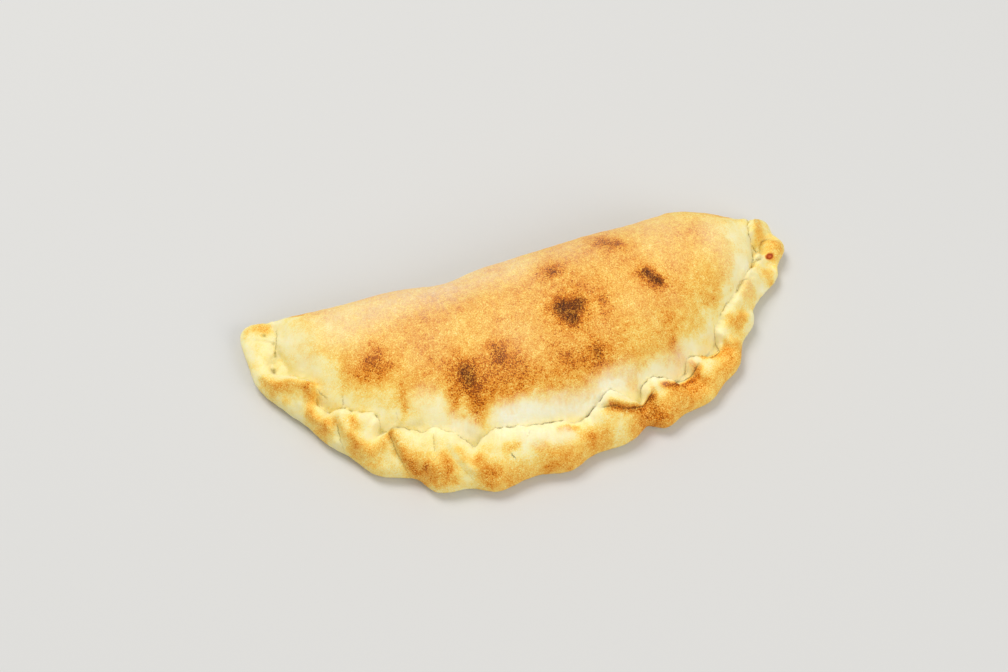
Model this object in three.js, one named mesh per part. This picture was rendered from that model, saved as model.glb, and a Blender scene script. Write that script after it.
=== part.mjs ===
// A baked calzone: a disc of dough folded over its filling, its open edge rolled and crimped into a rope.
// Millimetres, +Z up, +X along the fold. The shape is worked out about the middle of the fold line, and is
// moved at the end so that the middle of its base is the origin.

import * as THREE from 'three';

// ---- Driving sizes -------------------------------------------------------------------------------------

const DEEPEST_X = -20; // where along the fold the half-moon is deepest
const LEFT_HALF = 121.5; // from there to the left tip
const RIGHT_HALF = 162.5; // and to the right tip
const FRONT_DEPTH = 115.5; // from the fold line to the front of the rope
const CORNER_SOFTENING = 7; // half-length of the stretch that each point of the outline is averaged over

const SPINE_HALF = 100; // the rows of the skin meet on a line that runs this far to each side of the middle
const SPINE_END_Y = -26; // its place at its two ends
const SPINE_SAG = 14; // how much nearer the front it lies in the middle

const BODY_INSET = 15.5; // the filled body starts this far inside the half-moon, under the rope
const BODY_FOOT_Z = 7; // its height there
const CROWN_SHARE = 0.55; // where across the body its crown lies, from 0 at the front to 1 at the fold
const BODY_ROUNDNESS = 2.3; // higher: a flatter crown
const FRONT_WALL = 1.3; // higher: a steeper wall at the rope
const FOLD_WALL = 2; // the same at the fold, where 2 is a round edge
const BLUNT_END = 0.02; // how blunt the ends of the body are in plan, from 0 for a sharp tip

const ROPE_EDGE_Z = 6; // height at which the rope reaches furthest out
const ROPE_ROUNDNESS = 2.4;
const SEAM_DEPTH = 1.6; // how deep the seam between rope and body is pressed
const SEAM_SPREAD = 2; // over which distance the body rises out of it
const ROPE_FOOT = 6.5; // how far in from its edge the rope touches the table
const FOLD_FOOT = 12; // the same under the rounded fold

const STATIONS_A_SIDE = 116; // along the rope, and as many along the fold
const UNDER_ROWS = 3;
const ROPE_ROWS = 9;
const BODY_ROWS = 8;
const BODY_ROW_CROWDING = 1.5; // over 1 crowds the rows at the steep wall

// ---- Shape along the outline ---------------------------------------------------------------------------
// A turn is a place on the outline: 0 at the left tip, 90 near the deepest front, 180 at the right tip, and
// back along the fold to 360. Each row of these three tables is a turn and a size there in mm.

// How far the edge of the rope stands out of a plain half-moon: lobes and the notches between them.
const LOBES = [
  [0, 0], [10, 0.5], [17, 1.5], [25, -2], [33, -4.5], [40, -3], [47, -3], [55, 0.5], [64, -2.5],
  [70, 3], [77.5, 0.5], [83.5, 3], [92, -1.5], [98, 1], [103, -3], [109, -1.5], [112, -2.5],
  [114.6, -4.5], [117.5, 1.2], [122, 0.5], [127.5, 3.5], [132, 1.5], [137, 1], [143, -5], [149, -5.5],
  [153.5, -9], [158.5, -6.5], [163, -1], [166.5, -1.5], [170, 3], [172.5, 3.5], [176, -1.5],
  [180, -3.5], [185, -1], [195, 0], [350, 0],
];

// How far in from the plain half-moon the seam between rope and body lies.
const SEAM_INSETS = [
  [0, 17], [4, 17.5], [9, 14.5], [14, 10], [20, 18], [27, 19], [31, 17], [34, 13], [36.5, 15.5],
  [38.5, 20], [45, 22.5], [48.3, 21], [50, 16.5], [56, 19], [61, 21.5], [66, 22.5], [71, 21.5],
  [75, 20], [77.7, 17], [79.9, 20.5], [84, 22.5], [91, 21.5], [98, 21.5], [103, 20], [105.5, 21],
  [109.2, 24], [112, 23], [114.5, 19.5], [116.2, 16], [118.2, 19], [121, 18], [125, 13.5], [128, 12],
  [129.7, 15.5], [132, 16], [135.3, 12.5], [138.5, 16], [142, 19.5], [148, 20], [155, 20.5],
  [160, 19.5], [165, 15], [168.5, 9.5], [172, 13], [177, 17.5], [181, 17.5], [186, 10], [189, 4],
  [196, 10], [210, 18], [330, 18], [343, 9], [347, 4], [352, 8], [357, 15],
];

// How far the rope swells above a straight line from its edge to the seam.
const SWELLS = [
  [0, 4], [8, 4], [16, 5], [22, 8], [30, 7], [38, 7], [52, 7.5], [64, 7], [72, 8.5], [84, 7],
  [97, 7.5], [108, 7.5], [118, 7.5], [130, 7.5], [142, 7], [153, 6], [160, 6], [166, 5], [172, 6],
  [180, 4], [188, 4], [347, 4], [353, 4],
];

// ---- Shape along the fold ------------------------------------------------------------------------------
// Each row is an x and a size there in mm.

// The y of the fold, which bows back where the body is fullest.
const FOLD_LINE = [
  [-141, 1.5], [-124, -0.5], [-100, -2.5], [-60, -2], [-20, -1.5], [20, 1], [60, 5], [95, 5.5],
  [122, 1.5], [142, 4],
];

// The height at which the rounded fold reaches furthest back.
const FOLD_HEIGHTS = [
  [-141, 7], [-124, 8], [-100, 9.5], [-50, 12], [0, 15], [50, 17], [90, 15.5], [115, 11], [128, 8],
  [142, 7],
];

// The height of the crown of the body.
const CROWN_HEIGHTS = [
  [-126, 8], [-122, 15], [-115, 22], [-104, 28.5], [-70, 36], [-30, 41], [10, 44.5], [50, 46.5],
  [80, 44.5], [102, 38], [115, 29], [123, 20], [128, 9],
];

// ---- Folds and puffs -----------------------------------------------------------------------------------

// Creases and lips that the fingers leave in the rope. Each is a bowed stroke in plan from its head past its
// middle to its foot. It rises, or sinks where rise is negative, and fades over one width on its left hand,
// looking from head to foot, and over another on its right.
const FOLDS = [
  { head: [-135, -36], middle: [-124, -41], foot: [-111, -43], rise: 2.5, left: 4, right: 4 },
  { head: [-109, -44], middle: [-115, -58], foot: [-107, -69], rise: 3, left: 5, right: 3 },
  { head: [-101, -66], middle: [-102, -75], foot: [-96, -82], rise: -3, left: 3, right: 2.5 },
  { head: [-98, -84], middle: [-88, -95], foot: [-78, -80], rise: 2.2, left: 4, right: 4.5 },
  { head: [-78, -81], middle: [-78, -94], foot: [-72, -106], rise: 4, left: 9, right: 2.2 },
  { head: [-60, -84], middle: [-60, -90], foot: [-59, -94], rise: -1.5, left: 3, right: 3 },
  { head: [-52, -90], middle: [-52, -101], foot: [-44, -111], rise: 2.8, left: 9, right: 2.4 },
  { head: [26, -92], middle: [38, -101], foot: [53, -95], rise: 4, left: 5, right: 2.4 },
  { head: [53, -92], middle: [50, -98], foot: [46, -105], rise: -2.4, left: 4, right: 3 },
  { head: [54, -85], middle: [65, -92], foot: [77, -84], rise: 3.8, left: 5, right: 2.4 },
  { head: [75, -76], middle: [86, -82], foot: [95, -74], rise: 3.4, left: 5, right: 2.4 },
  { head: [89, -65], middle: [90, -70], foot: [92, -74], rise: -2.2, left: 2.5, right: 2.5 },
  { head: [95, -61], middle: [101, -64], foot: [106, -68], rise: -2.4, left: 4, right: 4 },
  { head: [107, -45], middle: [112, -47], foot: [117, -50], rise: -2.6, left: 4, right: 4 },
  { head: [117, -36], middle: [121, -39], foot: [125, -42], rise: -1.8, left: 3, right: 3 },
  { head: [126, -27], middle: [131, -28], foot: [136, -29], rise: -2.4, left: 2.5, right: 2.5 },
  { head: [130, -17], middle: [133, -12], foot: [140, -12], rise: -2.4, left: 2, right: 2 },
];

// Soft swellings and hollows, each a place in plan, its rise and its radius.
const PUFFS = [
  { at: [136, -20], rise: 3, radius: 6 },
  { at: [84, -14], rise: 2, radius: 26 },
  { at: [66, -62], rise: -1.6, radius: 12 },
  { at: [-24, -34], rise: 1.2, radius: 24 },
  { at: [-84, -24], rise: 1.5, radius: 22 },
  { at: [-52, -12], rise: -1, radius: 16 },
  { at: [26, -8], rise: -0.8, radius: 16 },
  { at: [-84, -92], rise: -1.5, radius: 6 },
  { at: [-124, -47], rise: -1.5, radius: 7 },
  { at: [-12, -104], rise: 1, radius: 9 },
  { at: [14, -100], rise: -1, radius: 7 },
];

// ---- Small helpers -------------------------------------------------------------------------------------

const lerp = THREE.MathUtils.lerp;
const smoothstep = THREE.MathUtils.smoothstep;

// A smooth curve through the rows of a table, closed at the given period if there is one.
function curveThrough(rows, period = 0) {
  const last = rows.length - 1;
  const row = (i) => {
    if (!period) return rows[THREE.MathUtils.clamp(i, 0, last)];
    const lap = Math.floor(i / rows.length);
    const [place, size] = rows[i - lap * rows.length];
    return [place + lap * period, size];
  };
  const slope = (i) => {
    const before = row(i - 1);
    const after = row(i + 1);
    return (after[1] - before[1]) / (after[0] - before[0]);
  };
  return (place) => {
    let i = rows.findLastIndex((entry) => entry[0] <= place);
    if (!period) i = THREE.MathUtils.clamp(i, 0, last - 1);
    const [x0, y0] = row(i);
    const [x1, y1] = row(i + 1);
    const span = x1 - x0;
    const t = THREE.MathUtils.clamp((place - x0) / span, 0, 1);
    const rest = 1 - t;
    return y0 * (1 + 2 * t) * rest * rest + slope(i) * span * t * rest * rest
      + y1 * (3 - 2 * t) * t * t - slope(i + 1) * span * t * t * rest;
  };
}

const lobeAt = curveThrough(LOBES, 360);
const seamInsetAt = curveThrough(SEAM_INSETS, 360);
const swellAt = curveThrough(SWELLS, 360);
const foldLineAt = curveThrough(FOLD_LINE);
const foldHeightAt = curveThrough(FOLD_HEIGHTS);
const crownHeightAt = curveThrough(CROWN_HEIGHTS);

// 1 where the edge is a rope or a flap at a tip, 0 where it is the rounded fold.
function ropeShare(turn) {
  const pastRightFlap = smoothstep(turn, 184, 194);
  const beforeLeftFlap = 1 - smoothstep(turn, 342, 351);
  return 1 - pastRightFlap * beforeLeftFlap;
}

// ---- The plain half-moon -------------------------------------------------------------------------------

// A point of the half-moon with sharp corners.
function halfMoon(turn) {
  if (turn <= 180) {
    const angle = THREE.MathUtils.degToRad(turn);
    const half = turn < 90 ? LEFT_HALF : RIGHT_HALF;
    return new THREE.Vector2(DEEPEST_X - half * Math.cos(angle), -FRONT_DEPTH * Math.sin(angle));
  }
  const x = lerp(DEEPEST_X + RIGHT_HALF, DEEPEST_X - LEFT_HALF, (turn - 180) / 180);
  return new THREE.Vector2(x, foldLineAt(x));
}

// Points about 1 mm apart between two turns, each with its turn.
function walk(fromTurn, toTurn) {
  const samples = 1500;
  const path = [];
  for (let i = 0; i <= samples; i += 1) {
    const turn = lerp(fromTurn, toTurn, i / samples);
    const point = halfMoon(turn);
    const length = i ? path[i - 1].length + point.distanceTo(path[i - 1].point) : 0;
    path.push({ turn, point, length });
  }
  return evenly(path, Math.round(path[samples].length));
}

// The same path with its samples the same length apart.
function evenly(path, steps) {
  const total = path[path.length - 1].length;
  const even = [];
  let i = 0;
  for (let step = 0; step <= steps; step += 1) {
    const length = total * step / steps;
    while (i < path.length - 2 && path[i + 1].length < length) i += 1;
    const t = (length - path[i].length) / (path[i + 1].length - path[i].length);
    even.push({
      turn: lerp(path[i].turn, path[i + 1].turn, t),
      point: path[i].point.clone().lerp(path[i + 1].point, t),
      length,
    });
  }
  return even;
}

// The outline with its corners softened, as evenly spaced stations: first the rope, then the fold.
function softOutline() {
  const front = walk(0, 180);
  const back = walk(180, 360);
  const loop = [...front.slice(0, -1), ...back.slice(0, -1)];
  const soft = (sample, middle) => {
    const sum = new THREE.Vector2();
    for (let step = -CORNER_SOFTENING; step <= CORNER_SOFTENING; step += 1) {
      sum.add(loop[(middle + step + loop.length) % loop.length].point);
    }
    return { ...sample, point: sum.divideScalar(2 * CORNER_SOFTENING + 1) };
  };
  const rightTip = front.length - 1;
  const smooth = loop.map(soft);
  const frontSoft = [...smooth.slice(0, rightTip), { ...front.at(-1), point: smooth[rightTip].point }];
  const backSoft = [...smooth.slice(rightTip), { ...back.at(-1), point: smooth[0].point }];
  const stations = (path) => evenly(path, STATIONS_A_SIDE).slice(0, -1);
  return [...stations(frontSoft), ...stations(backSoft)];
}

// A point of the line where the rows meet, from its left end at 0 to its right end at 1.
function spinePoint(share) {
  const x = lerp(-SPINE_HALF, SPINE_HALF, share);
  return new THREE.Vector2(x, SPINE_END_Y - SPINE_SAG * (1 - (x / SPINE_HALF) ** 2));
}

// ---- Relief --------------------------------------------------------------------------------------------

const STROKE_STEPS = 8;

// The height that one fold adds at a place in plan.
function foldRelief(fold, place) {
  const stroke = new THREE.QuadraticBezierCurve(
    new THREE.Vector2(...fold.head), new THREE.Vector2(...fold.middle), new THREE.Vector2(...fold.foot));
  const points = stroke.getPoints(STROKE_STEPS);
  let nearest = Infinity;
  let side = 1;
  for (let i = 0; i < STROKE_STEPS; i += 1) {
    const along = points[i + 1].clone().sub(points[i]);
    const from = place.clone().sub(points[i]);
    const t = THREE.MathUtils.clamp(from.dot(along) / along.lengthSq(), 0, 1);
    const distance = from.distanceTo(along.clone().multiplyScalar(t));
    if (distance < nearest) {
      nearest = distance;
      side = along.cross(from);
    }
  }
  const width = side > 0 ? fold.left : fold.right;
  return fold.rise * Math.exp(-((nearest / width) ** 2));
}

function puffRelief(puff, place) {
  const distance = place.distanceTo(new THREE.Vector2(...puff.at));
  return puff.rise * Math.exp(-((distance / puff.radius) ** 2));
}

const foldsAt = (place) => FOLDS.reduce((sum, fold) => sum + foldRelief(fold, place), 0);
const puffsAt = (place) => PUFFS.reduce((sum, puff) => sum + puffRelief(puff, place), 0);

// ---- The filled body -----------------------------------------------------------------------------------

// Where the body starts at the front: a half-moon inside the outline, with blunt ends.
function bodyFront(x) {
  const half = (x < DEEPEST_X ? LEFT_HALF : RIGHT_HALF) - BODY_INSET;
  const bow = Math.sqrt(Math.max(1 - ((x - DEEPEST_X) / half) ** 2, BLUNT_END));
  return -(FRONT_DEPTH - BODY_INSET) * bow;
}

// The height of the body at a place in plan: a loft of pillow sections along the fold.
function bodyHeight(place) {
  const front = bodyFront(place.x);
  const back = foldLineAt(place.x);
  const crown = lerp(front, back, CROWN_SHARE);
  const towards = place.y < crown ? front : back;
  const away = THREE.MathUtils.clamp((place.y - crown) / (towards - crown), 0, 1);
  const across = (place.y < crown ? 1 - away : 1 + away) / 2;
  const foot = lerp(BODY_FOOT_Z, foldHeightAt(place.x), across);
  const wall = lerp(FRONT_WALL, FOLD_WALL, across);
  return foot + (crownHeightAt(place.x) - foot) * (1 - away ** BODY_ROUNDNESS) ** (1 / wall);
}

// ---- Sections of the dough -----------------------------------------------------------------------------

// Everything that the rows of one station need.
function stationOf(sample, index) {
  const count = STATIONS_A_SIDE;
  const share = index <= count ? index / count : 2 - index / count;
  const spine = spinePoint(share);
  const inward = spine.clone().sub(sample.point).normalize();
  const edge = sample.point.clone().addScaledVector(inward, -lobeAt(sample.turn));
  const seam = sample.point.clone().addScaledVector(inward, seamInsetAt(sample.turn));
  const rope = ropeShare(sample.turn);
  return {
    spine,
    inward,
    edge,
    seam,
    rope,
    swell: swellAt(sample.turn),
    edgeZ: lerp(foldHeightAt(sample.point.x), ROPE_EDGE_Z, rope),
    seamZ: bodyHeight(seam) - SEAM_DEPTH,
    foot: lerp(FOLD_FOOT, ROPE_FOOT, rope),
  };
}

// The rounded underside, from the edge at 0 to where the dough touches the table at 1.
function underPoint(station, share) {
  const angle = share * Math.PI / 2;
  const place = station.edge.clone().addScaledVector(station.inward, station.foot * (1 - Math.cos(angle)));
  return new THREE.Vector3(place.x, place.y, station.edgeZ * (1 - Math.sin(angle)));
}

// The rope, from its edge at 0 to the seam at 1. Along the fold there is none, and this is the body's edge.
function ropePoint(station, share) {
  const place = station.edge.clone().lerp(station.seam, share);
  const swell = station.swell * Math.sqrt(1 - Math.abs(2 * share - 1) ** ROPE_ROUNDNESS);
  const relief = (foldsAt(place) + puffsAt(place)) * smoothstep(share, 0, 0.25);
  const height = lerp(station.edgeZ, station.seamZ, share) + swell + relief;
  return new THREE.Vector3(place.x, place.y, lerp(bodyHeight(place), height, station.rope));
}

// The body, from the seam at 0 to the line where the rows meet at 1.
function bodyPoint(station, share) {
  const place = station.seam.clone().lerp(station.spine, share);
  const nearSeam = Math.exp(-place.distanceTo(station.seam) / SEAM_SPREAD) * station.rope;
  const pressed = (foldsAt(place) - SEAM_DEPTH) * nearSeam;
  const puffed = puffsAt(place) * lerp(share, 1, station.rope);
  return new THREE.Vector3(place.x, place.y, bodyHeight(place) + pressed + puffed);
}

// ---- The closed skin -----------------------------------------------------------------------------------

// Rings of points from the foot of the dough, round its edge and up to the crown line.
function rings() {
  const stations = softOutline().map(stationOf);
  const rows = [];
  for (let i = UNDER_ROWS; i >= 0; i -= 1) rows.push(stations.map((station) => underPoint(station, i / UNDER_ROWS)));
  for (let i = 1; i <= ROPE_ROWS; i += 1) {
    const share = (1 - Math.cos(Math.PI * i / ROPE_ROWS)) / 2;
    rows.push(stations.map((station) => ropePoint(station, share)));
  }
  for (let i = 1; i <= BODY_ROWS; i += 1) {
    const share = (i / BODY_ROWS) ** BODY_ROW_CROWDING;
    rows.push(stations.map((station) => bodyPoint(station, share)));
  }
  return rows;
}

// The rings joined into one closed body. The last ring folds flat on the crown line, where the point on the
// rope's side and the point on the fold's side are one, and the foot is closed by a fan about its middle.
function doughGeometry() {
  const rows = rings();
  const around = 2 * STATIONS_A_SIDE;
  const lastRow = rows.length - 1;
  const points = rows.slice(0, lastRow).flat();
  const crownStart = points.length;
  for (let i = 0; i <= STATIONS_A_SIDE; i += 1) {
    const twin = rows[lastRow][(around - i) % around];
    points.push(rows[lastRow][i].clone().lerp(twin, 0.5));
  }
  const middle = points.length;
  points.push(rows[0].reduce((sum, point) => sum.add(point), new THREE.Vector3()).divideScalar(around));

  const pointIndex = (row, column) => {
    const i = column % around;
    return row < lastRow ? row * around + i : crownStart + Math.min(i, around - i);
  };
  const faces = [];
  const addFace = (a, b, c) => {
    if (a !== b && b !== c && c !== a) faces.push(a, b, c);
  };
  for (let i = 0; i < around; i += 1) {
    addFace(middle, pointIndex(0, i + 1), pointIndex(0, i));
    for (let row = 0; row < lastRow; row += 1) {
      const [a, b] = [pointIndex(row, i), pointIndex(row, i + 1)];
      const [c, d] = [pointIndex(row + 1, i + 1), pointIndex(row + 1, i)];
      addFace(a, b, c);
      addFace(a, c, d);
    }
  }
  const geometry = new THREE.BufferGeometry().setFromPoints(points);
  geometry.setIndex(faces);
  return geometry;
}

// The geometry moved so that the middle of its base is the origin.
function standOnOrigin(geometry) {
  geometry.computeBoundingBox();
  const { min, max } = geometry.boundingBox;
  geometry.translate(-(min.x + max.x) / 2, -(min.y + max.y) / 2, -min.z);
  geometry.computeVertexNormals();
  return geometry;
}

// ---- The part ------------------------------------------------------------------------------------------

const crust = new THREE.MeshStandardMaterial({ color: 0xe3a95c, roughness: 0.72, metalness: 0 });

const dough = new THREE.Mesh(standOnOrigin(doughGeometry()), crust);
dough.name = 'calzone';

const calzone = new THREE.Group();
calzone.add(dough);

export default calzone;
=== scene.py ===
"""A baked calzone on a pale studio floor: folded dough whose open edge is rolled and crimped into a rope.

The dough is worked out in millimetres about the middle of its fold, with +X along the fold, +Y to the back
and +Z up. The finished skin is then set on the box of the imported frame's node, in metres.
"""

import logging
import math
from dataclasses import dataclass, field, replace
from enum import Enum
from functools import cached_property
from typing import Any

import bpy
import numpy as np
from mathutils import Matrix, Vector


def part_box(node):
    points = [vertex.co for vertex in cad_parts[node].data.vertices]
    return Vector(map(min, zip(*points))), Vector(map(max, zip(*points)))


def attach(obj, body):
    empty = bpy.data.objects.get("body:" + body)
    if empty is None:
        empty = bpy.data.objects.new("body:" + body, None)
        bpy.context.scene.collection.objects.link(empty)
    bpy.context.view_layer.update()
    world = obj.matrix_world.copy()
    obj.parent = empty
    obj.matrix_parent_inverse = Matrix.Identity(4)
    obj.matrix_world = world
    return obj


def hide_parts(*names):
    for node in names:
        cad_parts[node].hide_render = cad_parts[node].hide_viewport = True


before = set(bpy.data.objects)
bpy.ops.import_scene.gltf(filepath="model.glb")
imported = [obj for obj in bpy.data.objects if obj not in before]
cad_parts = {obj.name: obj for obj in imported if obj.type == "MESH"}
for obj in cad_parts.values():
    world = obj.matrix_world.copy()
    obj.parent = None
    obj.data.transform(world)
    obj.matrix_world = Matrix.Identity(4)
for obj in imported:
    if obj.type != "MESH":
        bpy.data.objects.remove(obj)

log = logging.getLogger("calzone")

NODE = "calzone"
BODY = "root"
MILLIMETRE = 0.001
TINY = 1e-9  # Keeps a divisor off zero.
POINT_LENGTH = 1e-3  # A single point is read as a line this long, in mm.
OUT_OF_REACH = 99.0  # Stands for the distance from a line that is out of reach, in mm.

Array = np.ndarray
Place = tuple[float, float]
Span = tuple[float, float]
Size = float | tuple[float, float]


# ---- Small helpers -----------------------------------------------------------


def smoothstep(value: Array, low: float, high: float) -> Array:
    """Rises smoothly from 0 at low to 1 at high."""
    share = np.clip((value - low) / (high - low), 0, 1)
    return share * share * (3 - 2 * share)


def between(start: Any, end: Any, share: Any) -> Any:
    """The value that lies at share of the way from start to end."""
    return start + (end - start) * share


def along(size: Size, share: Array) -> Array:
    """A size at a share of the way along a line, where a pair gives it at the line's two ends."""
    start, end = size if isinstance(size, tuple) else (size, size)
    return between(start, end, share)


def bell(distance: Array, width: Any) -> Array:
    """Fades from 1 at no distance, over about one width, to 0."""
    return np.exp(-((distance / width) ** 2))


def unit(vectors: Array) -> Array:
    """The same vectors, one long."""
    return vectors / np.maximum(np.linalg.norm(vectors, axis=-1, keepdims=True), TINY)


class SmoothTable:
    """A smooth curve through rows of a place and a size there, closed at a period if it has one."""

    def __init__(self, rows: list[Place], period: float = 0.0) -> None:
        """Keeps the rows.

        Args:
            rows: Pairs of a place and a size, in order of place.
            period: After how far the table starts again, or 0.
        """
        places, sizes = np.array(rows, float).T
        if period:
            places = np.r_[places[-2:] - period, places, places[:3] + period]
            sizes = np.r_[sizes[-2:], sizes, sizes[:3]]
        else:
            places = np.r_[places[0], places, places[-1]]
            sizes = np.r_[sizes[0], sizes, sizes[-1]]
        self.places = places
        self.sizes = sizes

    def __call__(self, place: Array) -> Array:
        """The size at each place."""
        place = np.asarray(place, float)
        inner = self.places[1:-1]
        row = np.clip(np.searchsorted(inner, place, side="right") - 1, 0, len(inner) - 2) + 1
        span = self.places[row + 1] - self.places[row]
        share = np.clip((place - self.places[row]) / span, 0, 1)
        rest = 1 - share
        return (
            self.sizes[row] * (1 + 2 * share) * rest * rest
            + self._slope(row) * span * share * rest * rest
            + self.sizes[row + 1] * (3 - 2 * share) * share * share
            - self._slope(row + 1) * span * share * share * rest
        )

    def _slope(self, row: Array) -> Array:
        """The slope of the curve at a row, from its neighbours."""
        return (self.sizes[row + 1] - self.sizes[row - 1]) / (self.places[row + 1] - self.places[row - 1])


@dataclass(frozen=True)
class Ripples:
    """Gentle unevenness: a seeded sum of waves that run in all directions.

    Attributes:
        wavelength: The usual distance between two crests, in mm.
        seed: Start of the random draw.
        height: About how high they are.
        waves: How many waves are added.
        spread: Their shortest and longest wavelength, in shares of the usual one.
    """

    wavelength: float
    seed: int
    height: float = 1.0
    waves: int = 26
    spread: Span = (0.7, 1.5)

    def at(self, points: Array) -> Array:
        """How high the ripples stand, mostly within their height of 0.

        Args:
            points: Places, the last axis holding two or three coordinates in mm.

        Returns:
            One number for each place.
        """
        draw = np.random.default_rng(self.seed)
        directions = unit(draw.normal(size=(self.waves, points.shape[-1])))
        lengths = self.wavelength * draw.uniform(*self.spread, self.waves)
        phases = draw.uniform(0, 2 * math.pi, self.waves)
        total = np.zeros(points.shape[:-1])
        for direction, length, phase in zip(directions, lengths, phases):
            total += np.cos(points @ direction * (2 * math.pi / length) + phase)
        return self.height * total / math.sqrt(2 * self.waves)


# ---- Lines that fingers and oven leave ---------------------------------------


@dataclass(frozen=True)
class Reading:
    """How places lie to a line.

    Attributes:
        distance: Distance to the line, in mm.
        side: Distance to the left of the line, seen along it, and below zero to its right.
        leftness: From -1 straight to its right to 1 straight to its left, and between them off its ends.
        normal: Unit vector that points to the left of the nearest stretch.
        share: How far along the line the nearest stretch is, from 0 at its start to 1.
    """

    distance: Array
    side: Array
    leftness: Array
    normal: Array
    share: Array


def read_line(path: Array, places: Array, reach: float = 16.0) -> Reading:
    """Measures places against a line of straight stretches, or against a single point.

    Args:
        path: Corners of the line, in mm.
        places: Places in plan, in mm.
        reach: Places further away than this along either axis are left out, and read as out of reach.

    Returns:
        How each place lies to its nearest stretch.
    """
    if len(path) == 1:
        path = np.vstack([path, path + (POINT_LENGTH, 0)])
    close = np.all((places > path.min(0) - reach) & (places < path.max(0) + reach), axis=-1)
    near = places[close]
    distance = np.full(len(near), np.inf)
    side, share = np.zeros((2, len(near)))
    normal = np.zeros(near.shape)
    length = np.r_[0, np.cumsum(np.linalg.norm(np.diff(path, axis=0), axis=1))]
    for start, end, before, after in zip(path[:-1], path[1:], length[:-1], length[1:]):
        step = end - start
        left = np.array([-step[1], step[0]]) / np.linalg.norm(step)
        offset = near - start
        stretch = np.clip(offset @ step / (step @ step), 0, 1)
        here = np.linalg.norm(offset - stretch[:, None] * step, axis=1)
        nearer = here < distance
        distance = np.where(nearer, here, distance)
        side = np.where(nearer, offset @ left, side)
        share = np.where(nearer, between(before, after, stretch) / length[-1], share)
        normal = np.where(nearer[:, None], left, normal)
    far = np.zeros(close.shape)
    full = Reading(far + np.inf, far.copy(), far.copy(), np.zeros(places.shape), far.copy())
    full.distance[close] = distance
    full.side[close] = side
    full.leftness[close] = np.clip(side / np.maximum(distance, TINY), -1, 1)
    full.normal[close] = normal
    full.share[close] = share
    return full


def smooth_path(corners: tuple[Place, ...], spacing: float = 1.0) -> Array:
    """A smooth line through corners, with a point at least every so many mm."""
    points = np.array(corners, float)
    length = np.r_[0, np.cumsum(np.linalg.norm(np.diff(points, axis=0), axis=1))]
    even = np.linspace(0, length[-1], max(2, math.ceil(length[-1] / spacing) + 1))
    return np.stack([SmoothTable(list(zip(length, points[:, axis])))(even) for axis in (0, 1)], -1)


@dataclass(frozen=True)
class Pleat:
    """A fold of the rope: a ridge along a line, or a groove where rise is below zero.

    Each size may be a pair, which gives it at the two ends of the line.

    Attributes:
        path: The corners of its crest, in plan.
        rise: Its height, in mm.
        left: Over how much it fades on its left, seen along the line.
        right: The same on its right.
        lip: How far its crest leans out over its right side.
        shade: How dark the painted shade in the crease along its right side is.
        groove_place: How far from the crest a leaning pleat leaves a groove, in widths of its right side.
        groove_depth: How deep that is, as a share of its height.
        lip_widths: Over how much the lean fades on its right and on its left, in the same widths.
        crease_place: How far from the crest its crease runs, in the same widths.
    """

    path: tuple[Place, ...]
    rise: Size
    left: Size
    right: Size
    lip: Size = 0.0
    shade: Size = 0.0
    groove_place: float = 1.9
    groove_depth: float = 0.3
    lip_widths: Span = (0.9, 1.8)
    crease_place: float = 1.35

    def crest(self) -> Array:
        """Points along its crest."""
        return smooth_path(self.path)

    def height(self, reading: Reading) -> Array:
        """Its height at places, where a leaning crest also leaves a groove at its foot."""
        right = along(self.right, reading.share)
        rise = along(self.rise, reading.share)
        width = between(right, along(self.left, reading.share), (reading.leftness + 1) / 2)
        groove = bell(reading.distance - self.groove_place * right, right)
        groove = groove * np.clip(-reading.leftness, 0, 1)
        leaning = np.clip(along(self.lip, reading.share), 0, 1)
        return rise * (bell(reading.distance, width) - self.groove_depth * leaning * groove)

    def lean(self, reading: Reading) -> Array:
        """How far places move in plan where its crest leans."""
        width = between(*self.lip_widths, (reading.leftness + 1) / 2) * along(self.right, reading.share)
        lip = np.clip(along(self.lip, reading.share), 0, None)
        return -(lip * bell(reading.distance, width))[..., None] * reading.normal

    def gap(self, reading: Reading) -> Array:
        """How far places lie to the left of the crease at its foot."""
        return reading.side + self.crease_place * along(self.right, reading.share)


@dataclass(frozen=True)
class Puff:
    """A soft swelling, or a hollow where rise is below zero.

    Attributes:
        at: Its middle, in plan.
        rise: Its height, in mm.
        radius: Over how much it fades, in mm.
    """

    at: Place
    rise: float
    radius: float


@dataclass(frozen=True)
class Crease:
    """A narrow groove in the dough, with painted shade along its middle.

    Attributes:
        path: Its corners, in plan.
        depth: Its depth, in mm.
        width: Its width, in mm.
        shade: How dark its painted shade is, from 0 to 1.
    """

    path: tuple[Place, ...]
    depth: float
    width: float
    shade: float

    def gap(self, reading: Reading) -> Array:
        """How far places lie to the left of its bottom."""
        return reading.side


@dataclass(frozen=True)
class Mark:
    """A soft-edged mark on the crust.

    Attributes:
        path: One place, or the corners of a line, in plan.
        radius: How far it reaches from there, in mm.
        strength: How strong it is in the middle.
    """

    path: tuple[Place, ...]
    radius: float
    strength: float


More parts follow.
